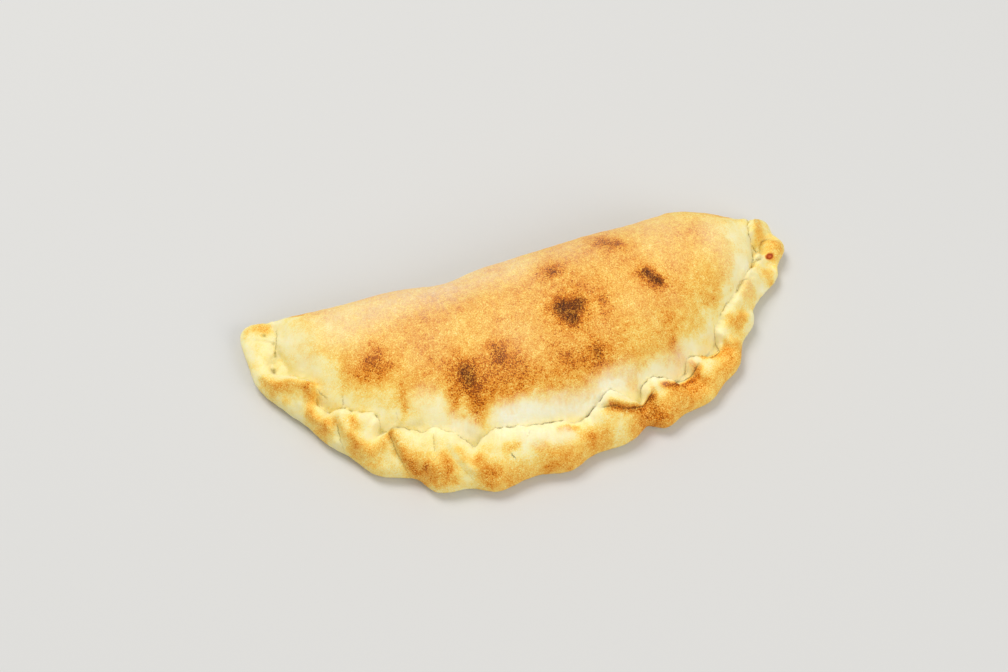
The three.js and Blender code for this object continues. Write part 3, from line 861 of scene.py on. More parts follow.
@dataclass
class DoughForm:
    """The smooth form of the dough, in rows of points from under its middle, round its edge, to its crown.

    Attributes:
        body: Its filled part.
        rope: Its rolled edge.
        count: Stations along the rope, and as many along the fold.
        base_rows: Rows on the flat underside.
        under_rows: Rows round the underside of the edge.
        rope_rows: Rows over the rope.
        body_rows: Rows from the seam to the crown line.
        rope_crowding: From 0 for even rows to 1 for rows crowded at the rope's edges.
        body_crowding: Over 1 crowds the rows at the steep wall.
        spine_half: The crown line runs this far to each side of the middle.
        spine_end_y: Its place at its two ends.
        spine_sag: How much nearer the front it lies in the middle.
        spine_power: Higher turns its ends more towards the tips.
        relief_start: Pleats and puffs reach full height at this share of the rope.
        stations: What the rows share.
    """

    body: FilledBody = FilledBody()
    rope: Rope = Rope()
    count: int = 520
    base_rows: int = 3
    under_rows: int = 6
    rope_rows: int = 42
    body_rows: int = 42
    rope_crowding: float = 0.35
    body_crowding: float = 1.3
    spine_half: float = 100
    spine_end_y: float = -26
    spine_sag: float = 14
    spine_power: float = 4.6
    relief_start: float = 0.25
    stations: Stations = field(init=False)

    def __post_init__(self) -> None:
        """Works out what the rows share."""
        rope = self.rope
        turn, outline = self.body.outline.stations(self.count)
        index = np.arange(2 * self.count)
        share = np.where(index <= self.count, index / self.count, 2 - index / self.count)
        x = between(-self.spine_half, self.spine_half, share)
        bow = 1 - np.abs(x / self.spine_half) ** self.spine_power
        spine = np.stack([x, self.spine_end_y - self.spine_sag * bow], -1)
        inward = unit(spine - outline)
        steps = np.linalg.norm(np.roll(outline, -1, axis=0) - outline, axis=1)
        ropiness = rope.share(turn)
        inset = rope.seam_insets(turn) + ropiness * sum(waver.at(outline) for waver in rope.seam_waver)
        opening = np.clip(rope.cracks(turn), 0, 1) * ropiness
        crack = opening * np.clip(rope.crack_mean + rope.crack_waver.at(outline), *rope.crack_range)
        press = rope.seam_depth + rope.crack_depth * crack
        self.stations = Stations(
            turn=turn,
            outline=outline,
            spine=spine,
            reach=np.linalg.norm(spine - outline, axis=1),
            inward=inward,
            along=np.r_[0, np.cumsum(steps[:-1])],
            ropiness=ropiness,
            lobe=rope.lobes(turn),
            inset=inset,
            slope=between(rope.grown_slope, rope.open_slope, np.clip(opening / rope.fully_open, 0, 1)),
            crack=crack,
            press=press,
            seam_z=self.body.height(outline + inward * inset[:, None]) - press,
            edge_z=between(self.body.fold_heights(outline[:, 0]), rope.edge_z, ropiness),
            foot=between(rope.fold_foot, rope.foot, ropiness),
        )

    def rows(self) -> tuple[Array, Array]:
        """All rows of the smooth form.

        Returns:
            The points, by row and station, and how far each lies past the seam towards the body, in mm.
        """
        at = self.stations
        under = -at.inset - at.lobe
        rows = [self._base_row(i / self.base_rows) for i in range(self.base_rows)]
        rows += [self._under_row(i / self.under_rows) for i in range(self.under_rows, 0, -1)]
        past = [under] * len(rows)
        for i in range(self.rope_rows + 1):
            even = i / self.rope_rows
            share = even - self.rope_crowding * math.sin(2 * math.pi * even) / (2 * math.pi)
            rows.append(self._rope_row(share))
            past.append((share - 1) * (at.inset + at.lobe))
        for i in range(1, self.body_rows + 1):
            share = (i / self.body_rows) ** self.body_crowding
            rows.append(self._body_row(share))
            past.append(share * (at.reach - at.inset))
        return np.array(rows), np.array(past)

    def lean(self, rows: Array, past: Array) -> Array:
        """How far points move in plan where a pleat's crest leans over its crease."""
        places = rows[..., :2]
        shift = np.zeros(places.shape)
        for pleat in PLEATS:
            if pleat.lip:
                shift += pleat.lean(read_line(pleat.crest(), places))
        outer, inner = (-share * self.stations.inset[None, :] for share in self.rope.leaning)
        on_top = smoothstep(past, outer, inner)
        return shift * on_top[..., None]

    @staticmethod
    def normals(rows: Array) -> Array:
        """Unit normals that point out of the skin, by row and station."""
        along = np.roll(rows, -1, axis=1) - np.roll(rows, 1, axis=1)
        up = np.gradient(rows, axis=0)
        return unit(np.cross(along, up))

    def _in(self, distance: Array) -> Array:
        """Places in plan that lie a distance in from the half-moon, one for each station."""
        return self.stations.outline + self.stations.inward * distance[:, None]

    def _base_row(self, share: float) -> Array:
        """A row of the flat underside, from the spine at 0 to the foot at 1."""
        at = self.stations
        places = between(at.spine, self._in(at.foot - at.lobe), share)
        return np.c_[places, np.zeros(len(places))]

    def _under_row(self, share: float) -> Array:
        """A row round the underside, from the edge at 0 to the foot at 1."""
        at = self.stations
        angle = share * math.pi / 2
        places = self._in(at.foot * (1 - math.cos(angle)) - at.lobe)
        return np.c_[places, at.edge_z * (1 - math.sin(angle))]

    def _rope_row(self, share: float) -> Array:
        """A row of the rope, from its edge at 0 to the seam at 1."""
        at = self.stations
        places = self._in(between(-at.lobe, at.inset, share))
        round_off = 1 - abs(2 * share - 1) ** self.rope.roundness
        swell = self.rope.swells(at.turn) * round_off ** (self.rope.edge_slope if share < 0.5 else at.slope)
        relief = self._relief(places) + self._puffs(places)
        relief = relief * smoothstep(np.array(share), 0, self.relief_start)
        height = between(at.edge_z, at.seam_z, share) + swell + relief
        return np.c_[places, between(self.body.height(places), height, at.ropiness)]

    def _body_row(self, share: float) -> Array:
        """A row of the body, from the seam at 0 to the spine at 1."""
        at = self.stations
        distance = between(at.inset, at.reach, share)
        places = self._in(distance)
        past = distance - at.inset
        relief = self._relief(places) * np.exp(-past / self.rope.pleat_spread)
        pressed = (relief - at.press * np.exp(-past / self.rope.seam_spread)) * at.ropiness
        puffed = self._puffs(places) * between(share, 1, at.ropiness)
        return np.c_[places, self.body.height(places) + pressed + puffed]

    @staticmethod
    def _relief(places: Array) -> Array:
        """Height that pleats, creases and pits add in the rope."""
        height = np.zeros(places.shape[:-1])
        for pleat in PLEATS:
            height += pleat.height(read_line(pleat.crest(), places))
        for crease in CREASES:
            reading = read_line(np.array(crease.path, float), places)
            height -= crease.depth * bell(reading.distance, crease.width)
        for pit in PITS:
            reading = read_line(np.array(pit.path, float), places)
            height -= pit.strength * pit.radius * bell(reading.distance, pit.radius)
        return height

    @staticmethod
    def _puffs(places: Array) -> Array:
        """Height that the soft swellings and broad dents add."""
        height = np.zeros(places.shape[:-1])
        for puff in PUFFS:
            distance = np.linalg.norm(places - np.array(puff.at, float), axis=-1)
            height += puff.rise * bell(distance, puff.radius)
        for dent in DENTS:
            reading = read_line(smooth_path(dent.path), places)
            height -= dent.depth * bell(reading.distance, dent.width)
        return height


@dataclass(frozen=True)
class Waves:
    """Waves in the surface of the dough.

    Attributes:
        ripples: Their form, one high.
        everywhere: Their height on all of the skin, in mm.
        on_body: How much higher they are on the filled body.
        on_rope: How much higher they are on the rope.
    """

    ripples: Ripples
    everywhere: float = 0.0
    on_body: float = 0.0
    on_rope: float = 0.0


@dataclass(frozen=True)
class Texture:
    """Waves, wrinkles and blisters by which the skin stands proud of the smooth form.

    Attributes:
        waves: Waves of several sizes.
        body_edge: Between which distances past the seam the body's waves set in, in mm.
        rope_edge: Between which the rope's end.
        wrinkles: Fine wrinkles across the rope.
        wrinkle_place: Where they are strongest, in mm past the seam, which is below zero on the rope.
        wrinkle_width: Over what distance they fade.
        wrinkle_stretch: How much of each mm across the rope counts, which makes them long that way.
        smooth_tip: Turns between which the wrinkles set in, past the smooth left flap.
        crumbs: Torn crumb along the seam.
        crumb_width: Over what distance it fades.
        blisters: How many small blisters the oven raises.
        blister_rows: They start this many rows up the rope.
        blister_radii: Their smallest and largest radius, in mm.
        blister_heights: Their smallest and largest height, in mm.
        standing: Heights above the table between which all of it sets in.
        seed: Start of the random draw of the blisters.
    """

    waves: tuple[Waves, ...] = (
        Waves(Ripples(34, 11), on_body=0.45),
        Waves(Ripples(11, 12), everywhere=0.096, on_body=0.064),
        Waves(Ripples(4.5, 13), everywhere=0.07, on_rope=0.056),
        Waves(Ripples(2.2, 14), everywhere=0.035),
    )
    body_edge: Span = (1.0, 8.0)
    rope_edge: Span = (-3.0, 0.5)
    wrinkles: tuple[Ripples, ...] = (Ripples(5, 15, 0.16), Ripples(2.4, 16, 0.1))
    wrinkle_place: float = -5.0
    wrinkle_width: float = 8.0
    wrinkle_stretch: float = 0.3
    smooth_tip: Span = (14, 30)
    crumbs: Ripples = Ripples(2.6, 17, 0.2)
    crumb_width: float = 3.0
    blisters: int = 150
    blister_rows: int = 6
    blister_radii: Span = (1.2, 3.2)
    blister_heights: Span = (0.12, 0.4)
    standing: Span = (0.5, 3.0)
    seed: int = 7

    def height(self, form: DoughForm, rows: Array, past: Array) -> Array:
        """How far each point stands proud of the smooth form, in mm.

        Args:
            form: The form that the rows come from.
            rows: Points, by row and station.
            past: How far each lies past the seam.

        Returns:
            One height for each point.
        """
        at = form.stations
        on_body = smoothstep(past, *self.body_edge)
        on_rope = (1 - smoothstep(past, *self.rope_edge)) * at.ropiness
        amount = np.zeros(past.shape)
        for waves in self.waves:
            local = waves.everywhere + waves.on_body * on_body + waves.on_rope * on_rope
            amount += waves.ripples.at(rows) * local
        first = (form.base_rows + form.under_rows + self.blister_rows) * 2 * form.count
        amount += self._blisters(rows, first)
        lengthwise = np.stack([np.broadcast_to(at.along, past.shape), self.wrinkle_stretch * past], -1)
        wrinkled = bell(past - self.wrinkle_place, self.wrinkle_width) * at.ropiness
        wrinkled = wrinkled * smoothstep(at.turn, *self.smooth_tip)
        amount += wrinkled * sum(ripples.at(lengthwise) for ripples in self.wrinkles)
        amount += bell(past, self.crumb_width) * at.ropiness * self.crumbs.at(rows)
        return amount * smoothstep(rows[..., 2], *self.standing)

    def _blisters(self, rows: Array, first: int) -> Array:
        """Height that blisters add, on random points from the given number on."""
        draw = np.random.default_rng(self.seed)
        points = rows.reshape(-1, 3)
        height = np.zeros(rows.shape[:-1])
        for _ in range(self.blisters):
            middle = points[draw.integers(first, len(points))]
            near = bell(np.linalg.norm(rows - middle, axis=-1), draw.uniform(*self.blister_radii))
            height += draw.uniform(*self.blister_heights) * near
        return height


@dataclass(frozen=True)
class Browning:
    """How brown the oven leaves the dough, where 0 is raw, about 0.5 golden and 1 dark brown.

    A pair says between which places something sets in: along x, past the seam, or up from the table, in mm.

    Attributes:
        golden: The top of the body.
        golden_drift: How much it drifts in wide clouds.
        paler_right: How much paler it is from `right_side` on.
        paler_left: How much paler it is short of `left_side`.
        right_side: Where the right side sets in.
        left_side: Where the left side ends.
        left_end: Where the pale left end ends.
        right_end: Where the pale right end sets in.
        right_end_share: How pale that is, from 0 to 1.
        end_share: How much of the golden is left at the ends.
        end_drift: How far the left end's border wanders, in mm.
        border_bends: How the pale dough's border wanders in bends.
        border_blots: How far it wanders in blots and specks, in mm.
        border_width: How wide that border is, in mm, and how much wider for each mm of pale dough.
        border_side: Between which places across it the brown sets in, in those widths.
        pale: The pale dough above the seam.
        pale_drift: How much it drifts slowly, and how much quickly.
        pale_ridge: How much browner it is in its middle.
        ridge_place: How far past the seam that is.
        ridge_width: Over what distance it fades.
        rope: The top of the rope.
        rope_cloud: How much it drifts in wide clouds.
        rope_drift: How much it drifts slowly, and how much quickly.
        seam_share: How much paler the rope is at the seam.
        seam_side: Where that sets in.
        outer: How much browner the rope's outer side is.
        outer_start: Where along x that sets in.
        outer_side: Where past the seam it ends.
        outer_drift: How far that border wanders, in mm.
        low_back: How much paler the low back is.
        low_back_top: Heights between which that ends.
        foot: Where the skin meets the table.
        foot_top: Heights between which that ends.
        most: What a strong tan comes to.
        base: The flat underside, which the oven floor browns.
        base_top: Heights between which that ends.
        base_drift: How it drifts.
        halo: How much a scorch browns what lies round it.
        halo_size: How much larger than the scorch that is.
        under_flour: What flour lies on is no browner than this.
    """

    golden: float = 0.52
    golden_drift: float = 0.06
    paler_right: float = 0.06
    paler_left: float = 0.08
    right_side: Span = (40, 70)
    left_side: Span = (-95, -58)
    left_end: Span = (-120, -90)
    right_end: Span = (97, 115)
    right_end_share: float = 0.9
    end_share: float = 0.18
    end_drift: float = 4.0
    border_bends: Ripples = Ripples(12, 26, 2.2)
    border_blots: float = 1.2
    border_width: Span = (1.5, 0.3)
    border_side: Span = (-1.0, 1.2)
    pale: float = 0.09
    pale_drift: Span = (0.05, 0.03)
    pale_ridge: float = 0.08
    ridge_place: float = 10
    ridge_width: float = 6
    rope: float = 0.12
    rope_cloud: float = 0.04
    rope_drift: Span = (0.06, 0.03)
    seam_share: float = 0.7
    seam_side: Span = (-9, -1)
    outer: float = 0.12
    outer_start: Span = (-60, -25)
    outer_side: Span = (-20, -13)
    outer_drift: float = 2.0
    low_back: float = 0.45
    low_back_top: Span = (4, 16)
    foot: float = 0.12
    foot_top: Span = (0.8, 3.5)
    most: float = 1.05
    base: float = 0.55
    base_top: Span = (0.0, 0.4)
    base_drift: Ripples = Ripples(16, 27, 0.2)
    halo: float = 0.18
    halo_size: float = 1.9
    under_flour: float = 0.34


@dataclass(frozen=True)
class Dusting:
    """Flour that is left on the crust.

    Attributes:
        bloom: How much lies thinly on all of the body.
        bloom_back: How much more lies on its back.
        back: Between which y that sets in.
        bloom_start: How far past the seam the bloom sets in.
        drift: How much it drifts in wide clouds.
        baked_in: How much of a dusting the toasted body takes up.
        sharpness: Higher gives dusted places a sharper edge.
        shield: How much wider than the flour the dough that it kept pale is.
    """

    bloom: float = 0.075
    bloom_back: float = 0.09
    back: Span = (-34, -4)
    bloom_start: Span = (12, 36)
    drift: float = 0.5
    baked_in: float = 0.6
    sharpness: float = 2.7
    shield: float = 1.5


@dataclass(frozen=True)
class SauceDrop:
    """A drop of sauce that has baked on at the right tip.

    Attributes:
        at: Where it lies.
        tilt: Which way it is long, in degrees from +X.
        radius: Its half-width, in mm.
        stretch: From 0 for a round drop to 1 for a long one.
    """

    at: tuple[float, float, float] = (132.5, -24.0, 12.0)
    tilt: float = 10
    radius: float = 1.5
    stretch: float = 0.5

    def cover(self, points: Array) -> Array:
        """How thickly it covers each point, from 0 to 1."""
        offset = points - self.at
        tilt = math.radians(self.tilt)
        lengthwise = offset @ (math.cos(tilt), math.sin(tilt), 0)
        away = np.sqrt((offset**2).sum(-1) - self.stretch * lengthwise**2)
        return bell(away, self.radius)


@dataclass
class Crust:
    """Works out every coat of the crust.

    Attributes:
        form: The form that it lies on.
        rows: Its points, by row and station.
        past: How far each lies past the seam.
        browning: How brown the oven leaves it.
        dusting: The flour on it.
        drop: The drop of sauce on it.
        wander: Two slow drifts along the crust.
        flicker: Two quick ones.
        cloud: One wide one.
        ragged_shift: How far the slow and the quick drifts shift large marks, in mm.
        neat_shift: The same for marks on the rope.
        pit_shift: The same for pits.
        mark_reach: Marks are left out beyond this many radii.
        scorch_sharpness: Higher gives scorches a sharper edge.
        seam: Between which distances past the seam the body takes over from the rope, in mm.
        line_reach: How far to the side a crease's painted shade is kept, in mm.
        line_width: Over what distance from it that fades.
        end_width: The same past its ends.
    """

    form: DoughForm
    rows: Array
    past: Array
    browning: Browning = Browning()
    dusting: Dusting = Dusting()
    drop: SauceDrop = SauceDrop()
    wander: tuple[Ripples, Ripples] = (Ripples(7, 21), Ripples(7, 22))
    flicker: tuple[Ripples, Ripples] = (Ripples(2.6, 23), Ripples(2.6, 24))
    cloud: Ripples = Ripples(38, 25)
    ragged_shift: Span = (0.8, 0.6)
    neat_shift: Span = (0.35, 0.2)
    pit_shift: Span = (0.0, 0.25)
    mark_reach: float = 2.5
    scorch_sharpness: float = 2.6
    seam: Span = (-0.5, 0.5)
    line_reach: float = 3.0
    line_width: float = 2.5
    end_width: float = 1.2

    def coats(self) -> dict[Coat, Array]:
        """Every coat, by row and station."""
        side, shade = self._creases()
        spots = np.concatenate([self._shifted(self.neat_shift), self.rows[..., 2:]], -1)
        return {
            Coat.BAKE: self._bake(),
            Coat.SCORCH: self._laid(SCORCHES, self._ragged, self.scorch_sharpness),
            Coat.FLOUR: self._flour(),
            Coat.SAUCE: self.drop.cover(spots),
            Coat.CREASE_SIDE: side,
            Coat.CREASE_SHADE: shade,
            Coat.PIT_SHADE: self._laid(PITS, self._shifted(self.pit_shift)),
        }

    @cached_property
    def _wander(self) -> Array:
        """The two slow drifts at each point."""
        return np.stack([ripples.at(self.rows) for ripples in self.wander], -1)

    @cached_property
    def _flicker(self) -> Array:
        """The two quick drifts at each point."""
        return np.stack([ripples.at(self.rows) for ripples in self.flicker], -1)

    @cached_property
    def _cloud(self) -> Array:
        """The wide drift at each point."""
        return self.cloud.at(self.rows)

    @cached_property
    def _ragged(self) -> Array:
        """Places in plan, shifted so that what is laid there has a ragged edge."""
        return self._shifted(self.ragged_shift)

    @cached_property
    def _on_body(self) -> Array:
        """1 past the seam, 0 short of it."""
        return smoothstep(self.past, *self.seam)

    @cached_property
    def _toasted(self) -> Array:
        """How far each point is past the pale dough above the seam, from 0 to 1."""
        brown, at = self.browning, self.form.stations
        pale = self.form.rope.pale_widths(at.turn)
        wandering = brown.border_bends.at(self.rows)
        wandering = wandering + brown.border_blots * (self._flicker[..., 0] + self._wander[..., 0])
        least, more = brown.border_width
        across = (self.past - pale + wandering) / (least + more * pale)
        toasted = smoothstep(across, *brown.border_side)
        return 1 - (1 - toasted) * at.ropiness

    @cached_property
    def _ends(self) -> Array:
        """0 at the pale ends of the body, 1 between them."""
        brown, x = self.browning, self.rows[..., 0]
        left = smoothstep(x + brown.end_drift * self._wander[..., 0], *brown.left_end)
        return left * (1 - brown.right_end_share * smoothstep(x, *brown.right_end))

    @cached_property
    def _halo(self) -> Array:
        """How much the heat of the scorches browns what lies round them."""
        size = self.browning.halo_size
        halos = tuple(replace(mark, radius=size * mark.radius) for mark in SCORCHES)
        return self._laid(halos, self._ragged)

    @cached_property
    def _dusted(self) -> Array:
        """How thickly flour was strewn on each point."""
        return self._laid(FLOURS, self._ragged, self.dusting.sharpness)

    def _shifted(self, shift: Span) -> Array:
        """Places in plan, shifted so far by the slow and by the quick drifts."""
        return self.rows[..., :2] + shift[0] * self._wander + shift[1] * self._flicker

    def _laid(self, marks: tuple[Mark, ...], places: Array, sharpness: float = 2.0) -> Array:
        """How strongly a set of marks covers each place, where marks that overlap add up short of full."""
        bare = np.ones(places.shape[:-1])
        for mark in marks:
            reading = read_line(np.array(mark.path, float), places, self.mark_reach * mark.radius)
            fading = np.exp(-((reading.distance / mark.radius) ** sharpness))
            bare *= 1 - np.clip(mark.strength, 0, 1) * fading
        return 1 - bare

    def _drift(self, amounts: Span) -> Array:
        """How much colours drift, with these amounts of the slow and of the quick drift."""
        return amounts[0] * self._wander[..., 1] + amounts[1] * self._flicker[..., 1]

    def _body_bake(self, golden: Array) -> Array:
        """How brown the body is, from its golden top to the pale dough at the seam."""
        brown = self.browning
        ridge = brown.pale_ridge * bell(self.past - brown.ridge_place, brown.ridge_width)
        pale = brown.pale + self._drift(brown.pale_drift) + ridge
        return between(pale, golden, self._toasted * between(brown.end_share, 1, self._ends))

    def _rope_bake(self) -> Array:
        """How brown the rope is."""
        brown = self.browning
        bake = brown.rope + brown.rope_cloud * self._cloud + self._drift(brown.rope_drift)
        bake = bake * (1 - brown.seam_share * smoothstep(self.past, *brown.seam_side))
        outside = 1 - smoothstep(self.past + brown.outer_drift * self._wander[..., 0], *brown.outer_side)
        return bake + brown.outer * smoothstep(self.rows[..., 0], *brown.outer_start) * outside

    def _bake(self) -> Array:
        """How brown each point is."""
        brown, ropiness = self.browning, self.form.stations.ropiness
        x, z = self.rows[..., 0], self.rows[..., 2]
        golden = brown.golden + brown.golden_drift * self._cloud
        golden = golden - brown.paler_right * smoothstep(x, *brown.right_side)
        golden = golden - brown.paler_left * (1 - smoothstep(x, *brown.left_side))
        edge = between(golden, self._rope_bake(), ropiness)
        bake = between(edge, self._body_bake(golden), self._on_body)
        bake = bake * (1 - brown.low_back * (1 - ropiness) * (1 - smoothstep(z, *brown.low_back_top)))
        places = np.where(self._on_body[..., None] > 0.5, self._ragged, self._shifted(self.neat_shift))
        bake = bake + self._laid(TANS, places) * (brown.most - bake)
        bake = between(brown.foot, bake, smoothstep(z, *brown.foot_top))
        base = brown.base + brown.base_drift.at(self.rows)
        bake = between(base, bake, smoothstep(z, *brown.base_top))
        bake = bake + brown.halo * self._halo * (1 - bake)
        shielded = np.clip(self.dusting.shield * self._dusted, 0, 1) * self._on_body * ropiness
        return between(bake, np.minimum(bake, brown.under_flour), shielded)

    def _flour(self) -> Array:
        """How much flour lies on each point."""
        dusting, ropiness = self.dusting, self.form.stations.ropiness
        bloom = dusting.bloom + dusting.bloom_back * smoothstep(self.rows[..., 1], *dusting.back)
        bloom = bloom * (1 + dusting.drift * self._cloud) * self._ends * (1 - self._halo)
        bloom = bloom * between(1, smoothstep(self.past, *dusting.bloom_start), ropiness)
        taken = dusting.baked_in * self._toasted * between(1, self._on_body, ropiness)
        return 1 - (1 - self._dusted * (1 - taken)) * (1 - np.clip(bloom, 0, 1))

    def _creases(self) -> tuple[Array, Array]:
        """The nearest crease, or the seam, and its painted shade.

        Returns:
            How far each point lies to its side, in mm, and how dark its painted shade is there.
        """
        side = self.past
        # Painted shade along the seam, darker where it stands open.
        shade = self.form.stations.crack[None, :] * bell(self.past, self.line_width)
        for line in [*CREASES, *(pleat for pleat in PLEATS if pleat.shade)]:
            reading = read_line(smooth_path(line.path), self.rows[..., :2])
            gap = line.gap(reading)
            distance = np.where(np.isfinite(reading.distance), reading.distance, OUT_OF_REACH)
            off_end = np.sqrt(np.maximum(distance**2 - reading.side**2, 0))
            here = np.clip(along(line.shade, reading.share), 0, 1) * bell(gap, self.line_width)
            here = here * bell(off_end, self.end_width)
            side = np.where(here > shade, gap, side)
            shade = np.maximum(here, shade)
        return np.clip(side, -self.line_reach, self.line_reach), shade


@dataclass
class Calzone:
    """The whole calzone as one closed skin.

    Attributes:
        form: Its smooth form.
        texture: What stands proud of that.
    """

    form: DoughForm = field(default_factory=DoughForm)
    texture: Texture = Texture()

    def build(self, box: tuple[Vector, Vector]) -> bpy.types.Object:
        """Makes the skin as one mesh, placed on a box.

        Args:
            box: Lowest and highest corner of what it stands for, in metres.

        Returns:
            The new object, with the coats as attributes.
        """
        rows, past = self.form.rows()
        coats = Crust(self.form, rows, past).coats()
        rows[..., :2] += self.form.lean(rows, past)
        rows += self.form.normals(rows) * self.texture.height(self.form, rows, past)[..., None]
        rows[..., 2] = np.maximum(rows[..., 2], 0)

        index = self._index(len(rows))
        following = np.roll(index, -1, axis=1)
        corners = np.stack([index[:-1], following[:-1], following[1:], index[1:]], -1)
        used, faces = np.unique(corners.reshape(-1, 4), return_inverse=True)
        points = rows.reshape(-1, 3)[used]
        points = (points - points.min(0)) * MILLIMETRE + np.array(box[0])

        mesh = bpy.data.meshes.new("calzone_skin")
        mesh.from_pydata(points.tolist(), [], faces.reshape(-1, 4).tolist())
        for coat, values in coats.items():
            attribute = mesh.attributes.new(coat.value, "FLOAT", "POINT")
            attribute.data.foreach_set("value", values.reshape(-1)[used].astype(np.float32))
        mesh.polygons.foreach_set("use_smooth", np.ones(len(mesh.polygons), bool))
        mesh.update()
        skin = bpy.data.objects.new("calzone_skin", mesh)
        bpy.context.scene.collection.objects.link(skin)
        return skin

    def _index(self, rows: int) -> Array:
        """Vertex numbers by row and station. The first and the last row fold flat on the spine."""
        around = 2 * self.form.count
        column = np.arange(around)
        folded = np.minimum(column, around - column)
        table = np.arange(rows * around).reshape(rows, around)
        table[0] = table[0, folded]
        table[-1] = table[-1, folded]
        return table


# ---- Finishes ----------------------------------------------------------------


def linear(code: str) -> tuple[float, float, float, float]:
    """The linear colour of a six-digit hex code."""
    channels = [int(code[i : i + 2], 16) / 255 for i in (0, 2, 4)]
    return (*[c / 12.92 if c <= 0.04045 else ((c + 0.055) / 1.055) ** 2.4 for c in channels], 1.0)


class MixSocket(Enum):
    """Places of the colour sockets of a Mix node."""

    FACTOR = 0
    FIRST = 6
    SECOND = 7
    RESULT = 2


@dataclass(frozen=True)
class Blots:
    """Cloudy noise.

    Attributes:
        size: Size of its blots, in mm.
        detail: How many finer layers it has.
        roughness: How strong those are.
        stretch: What places are scaled by, which draws it out along the smaller ones.
    """

    size: float
    detail: float = 2.0
    roughness: float = 0.5
    stretch: tuple[float, float, float] | None = None


class Noise(Enum):
    """The noises that the crust's looks share, from the finest."""

    GRAIN = Blots(0.5, detail=1.5, roughness=0.6)
    FLECK = Blots(0.95)
    CRUMB = Blots(1.1)
    STREAK = Blots(1.5, stretch=(1.0, 0.2, 0.6))
    MOTTLE = Blots(4.0, detail=3.0, roughness=0.6)
    CLOUD = Blots(15.0, detail=3.0)


class Varying:
    """A value that varies over a surface: one output of a node, with the usual operators."""

    def __init__(self, bench: "Bench", socket: bpy.types.NodeSocket) -> None:
        """Wraps one output socket."""
        self.bench = bench
        self.socket = socket

    def _math(self, operation: str, *values: Any) -> "Varying":
        """Adds a Math node on these values."""
        return self.bench.node("ShaderNodeMath", {"operation": operation}, dict(enumerate(values)))

    def __add__(self, other: Any) -> "Varying":
        """self + other."""
        return self._math("ADD", self, other)

    __radd__ = __add__

    def __sub__(self, other: Any) -> "Varying":
        """self - other."""
        return self._math("SUBTRACT", self, other)

    def __rsub__(self, other: Any) -> "Varying":
        """other - self."""
        return self._math("SUBTRACT", other, self)

    def __mul__(self, other: Any) -> "Varying":
        """self * other."""
        return self._math("MULTIPLY", self, other)

    __rmul__ = __mul__

    def __abs__(self) -> "Varying":
        """Its size without its sign."""
        return self._math("ABSOLUTE", self)

    def within(self, low: float = 0.0, high: float = 1.0) -> "Varying":
        """Itself, held between low and high."""
        return self._math("MINIMUM", self._math("MAXIMUM", self, low), high)

    def rise(self, low: float, high: float) -> "Varying":
        """Rises smoothly from 0 where it is low to 1 where it is high."""
        settings = {"interpolation_type": "SMOOTHSTEP"}
        inputs = {"Value": self, "From Min": low, "From Max": high}
        return self.bench.node("ShaderNodeMapRange", settings, inputs)


class Bench:
    """A material's node tree, with one method that adds nodes."""

    def __init__(self, name: str) -> None:
        """Starts a material of that name with an empty tree."""
        self.material = bpy.data.materials.new(name)
        self.material.use_nodes = True
        self.tree = self.material.node_tree
        self.tree.nodes.clear()

    def node(
        self,
        kind: str,
        settings: dict[str, Any] | None = None,
        inputs: dict[str | int, Any] | None = None,
        output: str | int = 0,
    ) -> Varying:
        """Adds one node.

        Args:
            kind: Blender's type of the node.
            settings: What is set before its sockets, such as a Math node's operation, or a ramp's stops.
            inputs: By name or number of the socket, a number, a colour or a link.
            output: Name or number of the output that is wanted.

        Returns:
            That output.
        """
        made = self.tree.nodes.new(kind)
        for key, value in (settings or {}).items():
            if key == "stops":
                self._set_stops(made.color_ramp, value)
            else:
                setattr(made, key, value)
        for key, value in (inputs or {}).items():
            if isinstance(value, Varying):
                self.tree.links.new(value.socket, made.inputs[key])
            else:
                made.inputs[key].default_value = value
        return Varying(self, made.outputs[output])

    @staticmethod
    def _set_stops(ramp: bpy.types.ColorRamp, stops: list[tuple[float, tuple]]) -> None:
        """Gives a colour ramp its stops."""
        while len(ramp.elements) < len(stops):
            ramp.elements.new(1.0)
        for element, (position, colour) in zip(ramp.elements, stops):
            element.position = position
            element.color = colour

    def coat(self, coat: Coat) -> Varying:
        """A coat of the crust, read from the mesh."""
        return self.node("ShaderNodeAttribute", {"attribute_name": coat.value}, output="Fac")

    def noise(self, place: Varying, blots: Blots) -> Varying:
        """Noise around 0, read at places in metres."""
        if blots.stretch:
            factors = {0: place, 1: blots.stretch}
            place = self.node("ShaderNodeVectorMath", {"operation": "MULTIPLY"}, factors)
        inputs = {
            "Vector": place,
            "Scale": 1 / (blots.size * MILLIMETRE),
            "Detail": blots.detail,
            "Roughness": blots.roughness,
        }
        return self.node("ShaderNodeTexNoise", {}, inputs) - 0.5

    def ramp(self, stops: tuple[tuple[float, str], ...], place: Varying) -> Varying:
        """A colour by place on a ramp of hex codes."""
        settings = {"stops": [(position, linear(code)) for position, code in stops]}
        return self.node("ShaderNodeValToRGB", settings, {"Fac": place}, output="Color")

    def mix(self, first: Any, second: Any, factor: Any) -> Varying:
        """One colour turned into another by a factor."""
        inputs = {
            MixSocket.FACTOR.value: factor,
            MixSocket.FIRST.value: first,
            MixSocket.SECOND.value: second,
        }
        return self.node("ShaderNodeMix", {"data_type": "RGBA"}, inputs, MixSocket.RESULT.value)

    def finish(self, inputs: dict[str, Any]) -> bpy.types.Material:
        """Ends the material with a Principled shader that has these inputs."""
        shader = self.node("ShaderNodeBsdfPrincipled", {}, inputs)
        out = self.tree.nodes.new("ShaderNodeOutputMaterial")
        self.tree.links.new(shader.socket, out.inputs["Surface"])
        return self.material


Strengths = tuple[tuple[Noise, float], ...]


